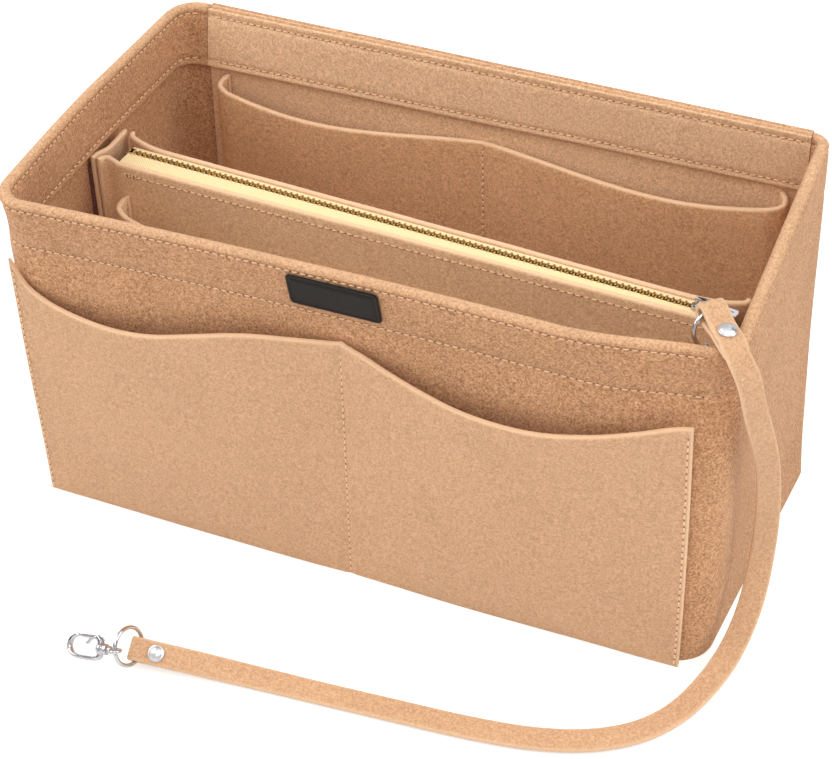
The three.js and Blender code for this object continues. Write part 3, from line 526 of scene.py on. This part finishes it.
def lean(points, press=9):
    """The real box isn't quite square. Its front hem tilts out, apart from the right end, where the
    front is pressed in below the hem. Both ends lean in at the rim, and the right end's foot
    spreads towards the back."""
    points = np.array(points, float)
    u = points[..., 0] / half_length
    v = points[..., 1] / half_depth
    h = np.clip(points[..., 2] / box_height, 0, 1.05)
    rim = np.clip((points[..., 2] - hem_bottom) / (box_height - hem_bottom), 0, 1.05)
    front = np.clip(-v, 0, 1.2)
    back = np.clip(v, 0, 1.2)
    sway = (3.6 + 0.6 * u - 5.3 * u ** 2) * np.minimum(h, hem_bottom / box_height)
    turned, pressed = [share ** 2 * (3 - 2 * share) for share in
                       (np.clip((u - 0.56) / 0.44, 0, 1), np.clip((u - 0.66) / 0.3, 0, 1))]
    tilt = (11.5 * turned - 7.3) * rim
    dent = press * pressed * np.exp(-((points[..., 2] - dent_level) / dent_reach) ** 2)
    points[..., 1] += front * (sway + tilt + dent) + back * (1.4 - 3.4 * u) * rim
    foot = np.clip(1 - h, 0, 1) ** 2
    points[..., 1] -= back * 4 * np.clip(u, 0, 1) * foot
    spread = np.minimum(1.9 + 5.2 * v, 5.3) - 7.5 * np.clip((v - 0.65) / 0.35, 0, 1)
    right = spread * foot - (1.8 + 3.0 * v) * (1 - foot)
    left = (2.0 + 2.8 * back) * h + 0.8 * rim
    left += front ** 2 * (1.8 * h + 1.6 * rim + 2.0 * np.sin(pi * np.clip(rim, 0, 1)))
    points[..., 0] += np.clip(np.abs(u), 0, 1.1) * np.where(u > 0, right, left)
    return points


def placed(points):
    """Millimetres from the middle of the box's shell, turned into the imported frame."""
    return (np.asarray(points, float) + box_shift) * mm


def finer(start, end, step, rims=(0.0, 0.3, 0.8, 1.5)):
    """Places from start to end, a step apart, and closer together at both cut edges."""
    length = end - start
    count = max(2, int(round((length - 2 * rims[-1]) / step)))
    middle = np.linspace(start + rims[-1], end - rims[-1], count + 1)
    return np.concatenate([start + np.array(rims[:-1]), middle, end - np.array(rims[:-1])[::-1]])


def groove(level):
    """How far the thread pulls the felt in, near each seam."""
    return sum(0.6 * exp(-((level - seam) / 1.3) ** 2) for seam in seams)


def on_wall(station, inward, z):
    """A point at a level of a wall, some way in from its outside; pressed felt wanders a little."""
    x, y, inward_x, inward_y = station
    depth = inward + 0.35 * noise.noise(Vector((x / 60, y / 60, z / 60)))
    return (x + inward_x * depth, y + inward_y * depth, z)


def by_seams(places):
    """The same places, with some more beside each seam so that its groove is met."""
    beside = [seam + step for seam in seams for step in (-1.6, -0.8, 0, 0.8, 1.6)]
    kept = [place for place in places if min(abs(place - seam) for seam in seams) > 2.2]
    return np.array(sorted(kept + [place for place in beside if places[0] < place < places[-1]]))


def outer_side(top):
    """Stations (inward, level, cut edge) of a wall's outside, from its foot up."""
    return [(groove(z), z, 1.0 if z < 0.2 else 0.0) for z in by_seams(finer(0, top, 3.2))]


def inner_side(top):
    """Stations of a wall's inside: down the hem, under its cut edge, and down to the foot."""
    stations = []
    for z in by_seams(finer(hem_bottom, top, 1.6))[::-1]:
        near = max(0.0, 1 - (z - hem_bottom) / 0.9)
        stations.append((hem - groove(z) - 0.6 * near ** 2, z, min(1.0, 1.3 * near)))
    stations += [(hem - 1.2, hem_bottom - 0.25, 1.0), (felt_thickness + 0.1, hem_bottom - 0.1, 0.4)]
    for z in finer(0, hem_bottom - 1.5, 6)[::-1]:
        stations.append((felt_thickness, z, 1.0 if z < 0.2 else 0.0))
    return stations


rim_radius = hem / 2
profile = outer_side(box_height - rim_radius)
# Round the rim's fold the pale edge colour rises towards its top: a painted highlight along the rim.
for angle in np.linspace(0, pi, 13)[1:-1]:
    up = sin(angle)
    profile.append((rim_radius * (1 - cos(angle)), box_height - rim_radius * (1 - up), 0.35 * up))
profile += inner_side(box_height - rim_radius)



def corner_arc(side_x, side_y, half_x, half_y, radius, steps):
    """Stations (x, y, outward x, outward y) round one corner of a box's plan, anticlockwise."""
    start = {(1, 1): 0, (-1, 1): 90, (-1, -1): 180, (1, -1): 270}[side_x, side_y]
    arc = []
    for angle in np.radians(np.linspace(start, start + 90, steps)):
        c, s = cos(angle), sin(angle)
        arc.append((side_x * (half_x - radius) + radius * c, side_y * (half_y - radius) + radius * s, c, s))
    return arc


wall_path = [(-155, half_depth, 0, -1)]
for side_x, side_y, radius in ((-1, 1, 16), (-1, -1, 16), (1, -1, 16), (1, 1, 9)):
    wall_path += [(x, y, -c, -s) for x, y, c, s in
                  corner_arc(side_x, side_y, half_length, half_depth, radius, 13)]
dense_path = [wall_path[0]]
for a, b in zip(wall_path, wall_path[1:]):
    gap_length = dist(a[:2], b[:2])
    for share in np.linspace(0, 1, max(2, int(gap_length / 3) + 1))[1:]:
        dense_path.append([(1 - share) * p + share * q for p, q in zip(a, b)])


def wall_piece(name, plan, profile, material, node):
    """A wall whose profile follows stations (x, y, inward x, inward y) of a plan."""
    points = [on_wall(station, inward, z) for station in plan for inward, z, edge in profile]
    edges = [edge for inward, z, edge in profile] * len(plan)
    faces = tube_faces(len(plan), len(profile))
    return mesh_piece(name, placed(lean(points)), faces, material, "box", [node], edge=edges)


# The walls take the darker copy of the felt, as painted shade.
wall_piece("walls", dense_path, profile, napped_felt_painted_shade, "wall_wrap")


# Back wall. A flat panel whose hem shows two thicknesses side by side at the rim, sewn like the
# rest; its ends lie against the side walls where these curve round.
profile = outer_side(box_height - 0.6)
for inward, rise, edge in ((0.5, 0, 0), (1.5, 0.25, 0.1), (2.5, 0, 0), (2.9, -1.2, 0), (3.05, -3.5, 0),
                           (3.25, -1.2, 0), (3.65, 0, 0), (4.65, 0.25, 0.1), (5.65, 0, 0)):
    profile.append((inward, box_height + rise, edge))
profile += inner_side(box_height - 0.6)
back_plan = [(x, half_depth, 0, -1) for x in finer(-154.7, 165.7, 3.5)]
back_panel = wall_piece("back_panel", back_plan, profile, back_felt_painted_light, "back_wall")
# The back wall's inside, which faces the front, takes the lighter copy of the felt as painted light; its
# other faces take the darker copy as painted shade.
back_panel.data.materials.append(napped_felt_painted_shade)
back_panel.data.polygons.foreach_set(
    "material_index", [int(polygon.normal.y > -0.5) for polygon in back_panel.data.polygons])


# Thread. Polyester of the felt's own colour, in a lock stitch just under 4 mm long: each stitch is a short
# plump dash, and each needle hole between them is a small dark disc, painted shade of the hole.
thread_paint = Paint("thread", Roughness=0.6, Sheen_Weight=0.2, Specular_IOR_Level=0.4)
twist = thread_paint.grain(2400, 1, 0.5)
thread_paint.blend(twist, rgb(214, 168, 126), rgb(250, 214, 176))
thread_paint.rise(twist, 0.1 * mm)
hole_shade_paint = Paint("needle_holes_painted_shade", Roughness=0.95)
pit = hole_shade_paint.grain(1200, 1, 0.5)
hole_shade_paint.blend(pit, rgb(96, 58, 36), rgb(128, 84, 54))
stitch_pitch = 3.8
stitch_width = 0.9
sixths = np.radians(np.arange(0, 360, 60))
stitch_section = ((0.35, -0.15), (0.95, 0.1), (1.0, 0.16), (0.95, 0.1), (0.35, -0.15))


def stitches(name, line, outward, body, pitch=stitch_pitch):
    """A row of stitches along a line of points, in millimetres, on the side that outward faces."""
    line = np.asarray(line, float)
    outward = np.broadcast_to(np.asarray(outward, float), line.shape)
    run = distances(line)
    points, faces, kinds = [], [], []
    for k in range(int(run[-1] / pitch)):
        starts = (k + np.array((0.14, 0.3, 0.5, 0.7, 0.86, 1.0))) * pitch
        places = points_at(starts, run, line)
        out = unit(points_at(starts[2], run, outward))
        along = unit(places[4] - places[0])
        across = np.cross(out, along)
        first = len(points)
        for place, (girth, lift) in zip(places, stitch_section):
            for angle in sixths:
                local = across * cos(angle) + out * sin(angle) * 0.7
                points.append(place + out * lift + local * girth * stitch_width / 2)
        added = tube_faces(5, 6, first=first)
        faces += added
        kinds += [0] * len(added)
        first = len(points)
        # Each needle hole is a small disc in a dark colour: painted shade of the hole.
        hole = places[5]
        for angle in sixths:
            round_hole = across * 0.8 * cos(angle) + along * sin(angle)
            points.append(hole + round_hole * 0.42 + out * 0.05)
        points.append(hole + out * 0.09)
        faces += [(first + j, first + (j + 1) % 6, first + 6) for j in range(6)]
        kinds += [1] * 6
    piece = mesh_piece(name, placed(points), faces, thread_paint.material, body)
    piece.data.materials.append(hole_shade_paint.material)
    piece.data.polygons.foreach_set("material_index", kinds)


for seam_name, z in zip(("lower", "rim"), seams):
    for face, inward, sign in (("outside", 0.3, -1), ("inside", hem - 0.3, 1)):
        # Outside, the thread can't be made out on the right end.
        wall_plan = dense_path[2:] if sign > 0 else [place for place in dense_path if place[0] < 164]
        back_plan = [(x, half_depth, 0, -1) for x in np.linspace(-151, 163, 90)]
        for wall_name, plan in (("walls", wall_plan), ("back", back_plan)):
            line = [on_wall(station, inward, z) for station in plan]
            outward = [(sign * inward_x, sign * inward_y, 0) for x, y, inward_x, inward_y in plan]
            stitches(f"{wall_name}_{seam_name}_seam_{face}", lean(line), outward, "box")


# Base. A flat felt panel inside the walls, level with their foot.

def plate(outline_points, bottom, top, step=0.5):
    """Points and faces of a flat piece with softened edges, from its outline (x, y)."""
    outline_points = np.asarray(outline_points, float)
    count = len(outline_points)
    run = unit(np.roll(outline_points, -1, axis=0) - np.roll(outline_points, 1, axis=0))
    inward = np.stack([-run[:, 1], run[:, 0]], axis=1)
    rings, edges = [], []
    for inset, z, edge in ((6 * step, bottom, 0), (step, bottom, 0.3), (0, bottom + step, 1),
                           (0, top - step, 1), (step * 0.3, top - step * 0.3, 1), (step, top, 0.4),
                           (3 * step, top, 0), (6 * step, top, 0)):
        for point in outline_points + inward * inset:
            rings.append((*point, z))
            edges.append(edge)
    return rings, tube_faces(8, count), edges


def rounded_outline(width, height, radius, steps=8):
    return np.array([(x, y) for side_x, side_y in ((1, 1), (-1, 1), (-1, -1), (1, -1)) for x, y, c, s in
                     corner_arc(side_x, side_y, width / 2, height / 2, radius, steps)])


base_size = (345.2, 171.2)
base_corners = rounded_outline(*base_size, 12.7)
base_corners[:8] = rounded_outline(*base_size, 7)[:8]
base_outline = []
for corner, following in zip(base_corners, np.roll(base_corners, -1, axis=0)):
    for share in np.arange(0, 1, 1 / max(1, round(dist(corner, following) / 6))):
        base_outline.append(corner + (following - corner) * share)
points, faces, edges = plate(base_outline, 0, felt_thickness)
mesh_piece("base", placed(lean(points)), faces, felt, "box", ["base_panel"], edge=edges)


# Front pocket. One panel over the whole front, sewn down its middle, its ends and its foot, so that
# each half stands off the wall, and its mouth is cut in a long scoop on each side.

def felt_sheet(name, middle, body, replaced, material=felt):
    """A sheet of felt with softened cut edges, from a grid of points of its middle surface."""
    middle = np.asarray(middle, float)
    out = unit(np.cross(np.gradient(middle, axis=0), np.gradient(middle, axis=1)))
    along = distances(middle)
    up = distances(middle, 1)
    rim = np.minimum(np.minimum(along, along[-1:] - along), np.minimum(up, up[:, -1:] - up))
    near = np.clip(1 - rim / 1.3, 0, 1)
    offset = out * (felt_thickness / 2 * (1 - 0.42 * near ** 2))[..., None]
    front = (middle + offset).reshape(-1, 3)
    back = (middle - offset).reshape(-1, 3)
    points = np.concatenate([front, back])
    points[:, 2] = np.maximum(points[:, 2], middle[..., 2].min())
    edge = np.concatenate([np.clip(1.25 * near ** 1.5, 0, 1).ravel()] * 2)
    size = near.size
    index = np.arange(size).reshape(near.shape)
    quads = np.stack([index[:-1, :-1], index[1:, :-1], index[1:, 1:], index[:-1, 1:]], -1).reshape(-1, 4)
    border = np.concatenate([index[:, 0], index[-1, 1:], index[-2::-1, -1], index[0, -2:0:-1]])
    after = np.roll(border, -1)
    sides = np.stack([after, border, size + border, size + after], -1)
    faces = np.concatenate([quads, size + quads[:, ::-1], sides]).tolist()
    mesh_piece(name, placed(points), faces, material, body, replaced, edge=edge)


mouths = {}
mouth_heights = {
    -1: ((0, 139.5), (20, 138), (46, 135.5), (69, 130), (92, 123.5), (110, 121), (128, 121.5),
         (145, 124.5), (157, 131), (164, 144)),
    1: ((0, 139.5), (12, 136.6), (24, 132.8), (41, 128.4), (58, 125), (78, 123.7), (98, 124.4),
        (120, 128.8), (140, 135.4), (155, 141.2), (164, 143.6)),
}
for side, heights in mouth_heights.items():
    knots = [(x, 0, height) for x, height in heights]
    mouths[side] = smooth_line(knots, np.zeros(len(knots)), 6)[0]


def front_pocket_point(x, share):
    t = min(1.0, abs(x) / 160)
    mouth = mouths[-1 if x < 0 else 1]
    height = np.interp(abs(x), mouth[:, 0], mouth[:, 2])
    swell = 8 * sin(pi * t) * sqrt(share) + 0.5 * (1 - exp(-(x / 1.6) ** 2))
    swell += 0.7 * noise.noise(Vector((x / 55, 7.7, share * 2)))
    x *= 1.009 - 0.036 * share if x > 0 else 1.004 + 0.021 * share
    return (x, -half_depth - felt_gap - felt_thickness / 2 - max(0.0, swell), share * height)


share_rims = (0, 0.002, 0.006, 0.011)
pocket_places = np.unique(np.concatenate([finer(-164, 164, 3), np.linspace(-4, 4, 11)]))
shares = finer(0, 1, 0.03, share_rims)
grid = [[front_pocket_point(x, share) for share in shares] for x in pocket_places]
felt_sheet("outer_pocket", lean(grid, 0.5), "box", ["front_pocket"])
for seam_name, x in (("left", -162.2), ("middle", 0), ("right", 162.4)):
    line = np.array([front_pocket_point(x, share) for share in np.linspace(0.01, 0.99, 40)])
    line[:, 1] -= thread_depth
    stitches(f"outer_pocket_{seam_name}_seam", lean(line, 0.5), (0, -1, 0), "box")


# Label. A small patch of black leather with rounded corners and a pressed line round its border;
# its middle is left bare.
leather_paint = Paint("label_leather", Coat_Weight=0.04, Coat_Roughness=0.4, Specular_IOR_Level=0.22)
pebble = leather_paint.node("ShaderNodeTexVoronoi", {"feature": "DISTANCE_TO_EDGE"},
                            {"Vector": leather_paint.place(), "Scale": 1100.0})
worn = leather_paint.grain(300, 3, 0.6)
leather_paint.blend(worn, rgb(16, 15, 15), rgb(38, 35, 34))
leather_paint.feed(Roughness=0.42 + 0.2 * worn)
leather_paint.rise(0.6 * leather_paint.steps(pebble, 0.0, 0.12) + 0.4 * worn, 0.08 * mm, 0.7)
label_rings = []
label_profile = ((0.2, 0), (0, 0.3), (0, 0.8), (0.15, 1.05), (0.5, 1.2), (1.3, 1.2), (1.55, 0.95),
                 (1.9, 0.95), (2.15, 1.2), (4.5, 1.25), (7.5, 1.25))
for inset, depth in label_profile:
    ring = rounded_outline(44 - 2 * inset, 18.5 - 2 * inset, max(0.3, 2.4 - inset), 10)
    label_rings += [(x - 1.5, -half_depth - felt_gap - depth, z + 165.5) for x, z in ring]
faces = tube_faces(len(label_profile), len(ring))
mesh_piece("label", placed(lean(label_rings)), faces, leather_paint.material, "box", ["label_patch"])


# Inner pocket. It stands on the back wall; its ends turn back to the wall and are sewn down as
# flanges, and it is sewn through in the middle.

def rounded_path(stations, reach=2.2, step=0.5):
    """Stations (x, y, top) of a folded panel, followed closely and rounded at each fold."""
    stations = np.asarray(stations, float)
    run = distances(stations[:, :2])
    path = points_at(np.linspace(0, run[-1], int(run[-1] / step) + 1), run, stations)
    window = int(reach / step)
    rounded = path.copy()
    for i in range(len(path)):
        room = min(window, i, len(path) - 1 - i)
        rounded[i] = path[i - room:i + room + 1].mean(axis=0)
    run = distances(rounded[:, :2])
    return points_at(finer(0, run[-1], 2.2), run, rounded)


def folded_pocket(half_width, mid, end, flange_top, dip, wall_at):
    """The grid of a pocket that stands off its wall: flange, fold, then a scooped front."""
    half_stations = [(half_width - 4.2, 0, flange_top), (half_width - 2.1, 0, flange_top),
                     (half_width, 0.65, end)]
    for t in np.linspace(1, 0, 25)[1:]:
        mouth = mid + (end - mid) * t - dip * sin(pi * t ** 1.4)
        half_stations.append((half_width * t, 1 - (1 - t) ** 2, mouth))
    stations = [(-x, stand, top) for x, stand, top in half_stations[:-1]] + half_stations[::-1]
    columns = []
    for share in finer(0, 1, 0.04, share_rims):
        reach = 5.5 + 3.5 * share
        path = rounded_path([(x, wall_at(x) - stand * reach, top) for x, stand, top in stations])
        columns.append([(x, y, floor_top + share * (top - floor_top)) for x, y, top in path])
    count = min(len(column) for column in columns)
    even = []
    for column in columns:
        places = np.linspace(0, len(column) - 1, count)
        even.append(points_at(places, range(len(column)), np.array(column)))
    return np.array(even).transpose(1, 0, 2)


floor_top = felt_thickness + felt_gap
back_face = half_depth - felt_thickness - felt_gap - felt_thickness / 2
inner_half_width = 152
grid = folded_pocket(inner_half_width, 137, 142, 145, 8.2, lambda x: back_face)
grid[..., 0] += 5.5 * np.abs(grid[..., 0]) / inner_half_width
# The inner pocket takes a lighter copy of the felt, as painted light.
felt_sheet("inner_pocket", lean(grid), "box", ["back_inner_pocket"], pocket_felt_painted_light)
middle_row = grid[len(grid) // 2]
line = middle_row[2:-2] - (0, thread_depth + 0.05, 0)
stitches("inner_pocket_middle_seam", lean(line), (0, -1, 0), "box")


# Zip pouch. Four felt panels and a bottom, folded to each other at the ends and lifted out as one.
# Its ends hold to the side walls by hook-and-loop tape.
pouch_top = 147.3
zip_half_length = 150.0
zip_middle = -8
zip_slope = -0.063
corner_radius = 4.7
corner_behind = -12.8
panel_behind = corner_behind + corner_radius


def zip_line(x):
    """How far back the zip's middle line lies, which crosses the box a little askew."""
    return zip_middle + zip_slope * x


def front_skew(x):
    """How far the front panel strays from the zip's line: wider at the left, closer at the right."""
    return (2.7 * x / 150 - 0.7) * float(np.clip((161 - abs(x)) / 9, 0, 1))


def pouch_grid(path):
    """The grid of an upright panel from its plan: (x, distance behind the zip's line)."""
    stations = [(x, zip_line(x) + behind, pouch_top) for x, behind in path]
    rows = []
    for x, y, top in rounded_path(stations, 1.0):
        wave = 0.4 * noise.noise(Vector((x / 45, y / 45, 1.3)))
        rows.append([(x, y + wave * share, floor_top + share * (top - floor_top))
                     for share in finer(0, 1, 0.045, share_rims)])
    return np.array(rows)


front_end_x = 163.8
back_end_x = 159.0
front_path = []
for angle in np.linspace(0, pi / 2, 9):
    front_path.append((-front_end_x + corner_radius * (1 - cos(angle)),
                       corner_behind + corner_radius * sin(angle)))
front_path += [(-x, behind) for x, behind in front_path[::-1]]
front_grid = pouch_grid(front_path)
front_grid[..., 1] += np.vectorize(front_skew)(front_grid[..., 0])
# The pouch's front and its pocket take a lighter copy of the felt, as painted light.
felt_sheet("pouch_front", front_grid, "pouch", ["pouch_front_panel"], pouch_felt_painted_light)
back_path = [(-back_end_x, 14.5), (-back_end_x + 0.3, 11.8)]
back_path += [(-back_end_x + 0.3 + 27 * t, 6 + 5.8 * (1 - t) ** 2.4) for t in np.linspace(0, 1, 11)[1:]]
back_path += [(-x, behind) for x, behind in back_path[::-1]]
back_grid = pouch_grid(back_path)
felt_sheet("pouch_back", back_grid, "pouch", ["pouch_back_panel"])
for side_name, side in (("left", -1), ("right", 1)):
    path = []
    for t in np.linspace(0, 1, 15):
        behind = corner_behind + 27.3 * t
        turned = min(1, max(0, (27.3 * t - corner_radius / 2) / 9))
        path.append((side * (167.2 - 3.6 * turned * turned * (3 - 2 * turned)), behind))
    felt_sheet(f"pouch_{side_name}_end", pouch_grid(path), "pouch", [f"pouch_{side_name}_gusset"])
bottom_outline = []
for x, behind in back_path[2:-2]:
    bottom_outline.append((x, zip_line(x) + (behind + 6) / 2 - 1.8))
for side in (1, -1):
    x = side * (front_end_x - corner_radius - 1.5)
    bottom_outline.append((x, zip_line(x) + panel_behind + 1.8))
points, faces, edges = plate(bottom_outline[::-1], floor_top, floor_top + felt_thickness)
mesh_piece("pouch_floor", placed(points), faces, felt, "pouch", ["pouch_bottom"], edge=edges)
grid = folded_pocket(151, 119, 128, 131, 10,
                     lambda x: zip_line(x) + front_skew(x) + panel_behind - felt_thickness - felt_gap)
felt_sheet("pouch_pocket", grid, "pouch", ["pouch_front_pocket"], pouch_felt_painted_light)
for panel_name, grid, sign in (("front", front_grid, -1), ("back", back_grid, 1)):
    level = np.array([row[-1] for row in grid if abs(row[0][0]) < 148])
    for face_name, way in (("", sign), ("_inside", -sign)):
        line = level + (0, way * thread_depth, -5)
        stitches(f"pouch_{panel_name}_seam{face_name}", line, (0, way, 0), "pouch")

# Three short rows of close stitches tack the left end of the pouch's front.
level = np.array([row[-1] for row in front_grid if -150 < row[0][0] < -139])
for row in range(3):
    line = level + (0, -thread_depth, -4.2 - 0.8 * row)
    stitches(f"pouch_bar_tack_{row}", line, (0, -1, 0), "pouch", stitch_pitch / 2)


# Hook-and-loop tape in two upright strips at each end that face each other: the loop side is sewn to
# the wall and the hook side to the pouch. Its dark brown is painted shade of the gap beside the pouch's
# end.
tape_shade_paint = Paint("hook_and_loop_painted_shade", Roughness=0.9, Sheen_Weight=0.3)
loops = tape_shade_paint.node("ShaderNodeTexVoronoi", {}, {"Vector": tape_shade_paint.place(), "Scale": 900.0})
tape_shade_paint.blend(tape_shade_paint.steps(loops, 0.1, 0.7), rgb(140, 78, 58), rgb(92, 46, 34))
tape_shade_paint.rise(1 - loops, 0.4 * mm)
for side_name, side in (("left", -1), ("right", 1)):
    y = zip_line(side * 165) + corner_behind + 4.5
    for pad_name, outer, thick, body in (("wall", 171.4, 1.4, "box"), ("pouch", 169.9, 1.2, "pouch")):
        shape, faces, edges = plate(rounded_outline(9, 128, 1), 0, thick, 0.3)
        points = [(side * (outer - depth), y + across, 78 + up) for across, up, depth in shape]
        mesh_piece(f"{pad_name}_{side_name}_tape", placed(points), faces, tape_shade_paint.material, body,
                   [f"{pad_name}_{side_name}_pad"], edge=edges)


# Zip. Cream twill tape whose outer edge is sewn down inside each panel, and a row of gold metal
# teeth clamped on each side, meshed for their whole length.
zip_x = unit([1, zip_slope, 0])
zip_y = unit([-zip_slope, 1, 0])
zip_origin = np.array([0, zip_middle, pouch_top - 1])


def on_zip(along, behind, up):
    return zip_origin + zip_x * along + zip_y * behind + (0, 0, up)


twill_paint = Paint("zip_tape", Roughness=0.85, Sheen_Weight=0.2)
weave = {"Vector": twill_paint.place(), "Scale": 420.0, "Distortion": 0.6, "Detail": 1.0}
cords = twill_paint.node("ShaderNodeTexWave", {"bands_direction": "DIAGONAL"}, weave)
fluff = twill_paint.grain(1800, 2, 0.6)
twill_paint.blend(0.6 * cords + 0.4 * fluff, rgb(226, 196, 138), rgb(252, 234, 186))
twill_paint.rise(0.7 * cords + 0.3 * fluff, 0.12 * mm)
for tape_name, side in (("front", -1), ("back", 1)):
    places = finer(-153, 155, 3)
    points = []
    for x in places:
        outer = 6.3 - front_skew(x) if side < 0 else 4.2
        section = [(1.4, 0.35), (1.65, 0.55), (2.1, 0.42), (3.0, 0.32), (outer - 0.5, 0.3),
                   (outer - 0.05, 0.05), (outer, -1.0), (outer, -8.0), (outer - 0.6, -8.0),
                   (outer - 0.6, -1.0), (outer - 0.9, -0.3), (2.1, -0.3), (1.4, -0.35)]
        points += [on_zip(x, side * across, up) for across, up in section]
    faces = tube_faces(len(places), len(section))
    mesh_piece(f"zip_{tape_name}_tape", placed(points), faces, twill_paint.material, "pouch",
               [f"{tape_name}_tape"])

brass = metal_material("gold_teeth", rgb(216, 174, 104), 0.36)
stop_brass = metal_material("gold_stops", rgb(246, 222, 170), 0.6)
tooth_count = 97
tooth_pitch = 3
half_tooth = 0.55
tooth_outline = [(-0.38, -0.9), (0.38, -0.9), (0.5, -0.4), (0.5, 0.4), (0.38, 0.9), (-0.38, 0.9),
                 (-0.5, 0.4), (-0.5, -0.4)]
tooth_sections = [(1.95, 0.7), (1.8, 1.0), (0.7, 1.0), (-0.1, 0.95), (-0.6, 0.85), (-0.75, 0.5)]
for comb_name, side in (("front", -1), ("back", 1)):
    points, faces = [], []
    first_x = -zip_half_length + half_tooth + (tooth_pitch / 2 if side > 0 else 0)
    for k in range(tooth_count):
        x = first_x + tooth_pitch * k
        faces += tube_faces(len(tooth_sections), len(tooth_outline), first=len(points))
        for across, share in tooth_sections:
            for along, up in tooth_outline:
                points.append(on_zip(x + along * share, side * across, up * share * 1.08))
    mesh_piece(f"zip_{comb_name}_teeth", placed(points), faces, brass, "pouch", [f"{comb_name}_teeth"])
for stop in ("zip_end_stop", "zip_front_top_stop", "zip_back_top_stop"):
    low, high = [np.array(corner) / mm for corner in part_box(stop)]
    size = high - low
    shape, faces, edges = plate(rounded_outline(size[0], size[1], 0.5), 0, size[2], 0.25)
    foot = np.array([low[0] + size[0] / 2, low[1] + size[1] / 2, low[2]]) - box_shift
    mesh_piece(f"{stop}_clamp", placed(shape + foot), faces, stop_brass, "pouch", [stop])


# Slider and pull. Plated die-castings; their solids are right, so they keep them, with every edge
# softened by a fine bevel.

def softened(node, name, body, material, width):
    """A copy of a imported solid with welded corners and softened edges, which stands for it."""
    piece = linked(name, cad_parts[node].data.copy())
    piece.data.materials.clear()
    piece.data.materials.append(material)
    weld = piece.modifiers.new("weld", "WELD")
    weld.merge_threshold = 0.00001
    bevel = piece.modifiers.new("edges", "BEVEL")
    bevel.width = width
    bevel.segments = 3
    bevel.limit_method = "ANGLE"
    bevel.angle_limit = radians(30)
    bpy.context.view_layer.update()
    graph = bpy.context.evaluated_depsgraph_get()
    shaped = bpy.data.meshes.new_from_object(piece.evaluated_get(graph))
    piece.modifiers.clear()
    piece.data = shaped
    piece.data.shade_smooth()
    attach(piece, body)
    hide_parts(node)


softened("slider_top", "slider_body", "slider", chrome, 0.22 * mm)
softened("slider_base", "slider_under", "slider", chrome, 0.22 * mm)
softened("slider_pull", "pull_tab", "pull", chrome, 0.25 * mm)


# Anchor. A small wire ring with one straight side, held to the right wall by a looped tab of felt,
# for the strap's near hook.
ring_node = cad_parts["anchor_ring"]
ring_node.data.materials.clear()
ring_node.data.materials.append(chrome)
ring_node.data.shade_smooth()
softened("anchor_tab", "ring_tab", "box", felt, 0.4 * mm)


# Floor and light: a white sweep that the camera sees as plain white but for the shadow, broad soft
# lamps to the left, to the right, above the front and overhead, and an even grey surround.
floor_mesh = bpy.data.meshes.new("floor")
floor_mesh.from_pydata([(-4, -4, 0), (4, -4, 0), (4, 4, 0), (-4, 4, 0)], [], [(0, 1, 2, 3)])
floor = linked("floor", floor_mesh)
floor.location.z = -0.0002
floor_material = bpy.data.materials.new("floor")
shades = Nodes(floor_material)
matt = shades.node("ShaderNodeBsdfDiffuse", {}, {"Color": (0.8, 0.8, 0.8, 1)})
seen = shades.node("ShaderNodeLightPath", {}, {}, "Is Camera Ray")
glow = shades.node("ShaderNodeEmission", {}, {"Strength": 0.45 * seen})
both = shades.node("ShaderNodeAddShader", {}, {0: matt, 1: glow})
shades.show(both, "Material Output")
floor_mesh.materials.append(floor_material)

# The camera sees white all round. Plating mirrors a studio: bright boards with dark gaps between.
world = bpy.data.worlds.new("surround")
bpy.context.scene.world = world
sky = Nodes(world)
ray = {kind: sky.node("ShaderNodeLightPath", {}, {}, f"Is {kind} Ray")
       for kind in ("Camera", "Transmission", "Glossy")}
seen = sky.sum_with("MAXIMUM", ray["Camera"], ray["Transmission"])
white = sky.node("ShaderNodeBackground", {}, {"Color": (1, 1, 1, 1)})
grey = sky.node("ShaderNodeBackground", {}, {"Color": (1, 0.98, 0.96, 1), "Strength": 0.82})
around = sky.node("ShaderNodeTexCoord", {}, {}, "Generated")
boards = sky.node("ShaderNodeTexWave", {"bands_direction": "DIAGONAL"},
                  {"Vector": around, "Scale": 1.1, "Distortion": 2.5}, "Fac")
contrast = sky.node("ShaderNodeMapRange", {}, {0: boards, 1: 0.3, 2: 0.6, 3: 0.03, 4: 1.25})
studio = sky.node("ShaderNodeBackground", {}, {"Strength": contrast})
mirrored = sky.node("ShaderNodeMixShader", {}, {0: ray["Glossy"], 1: grey, 2: studio})
choose = sky.node("ShaderNodeMixShader", {}, {0: seen, 1: mirrored, 2: white})
sky.show(choose, "World Output")

aim = Vector((0, 0, 0.08))
for lamp_name, place, size, power in (("key", (-1.4, -0.45, 1.3), 1.2, 12.5),
                                      ("top", (0.1, 0.0, 2.0), 1.3, 2.5),
                                      ("front", (0.4, -1.2, 1.9), 1.2, 10),
                                      ("side", (1.6, 0.1, 1.3), 1.0, 11)):
    lamp_data = bpy.data.lights.new(lamp_name, "AREA")
    lamp_data.size = size
    lamp_data.energy = power
    lamp = linked(lamp_name, lamp_data)
    lamp.location = place
    lamp.rotation_euler = (aim - Vector(place)).to_track_quat("-Z", "Y").to_euler()
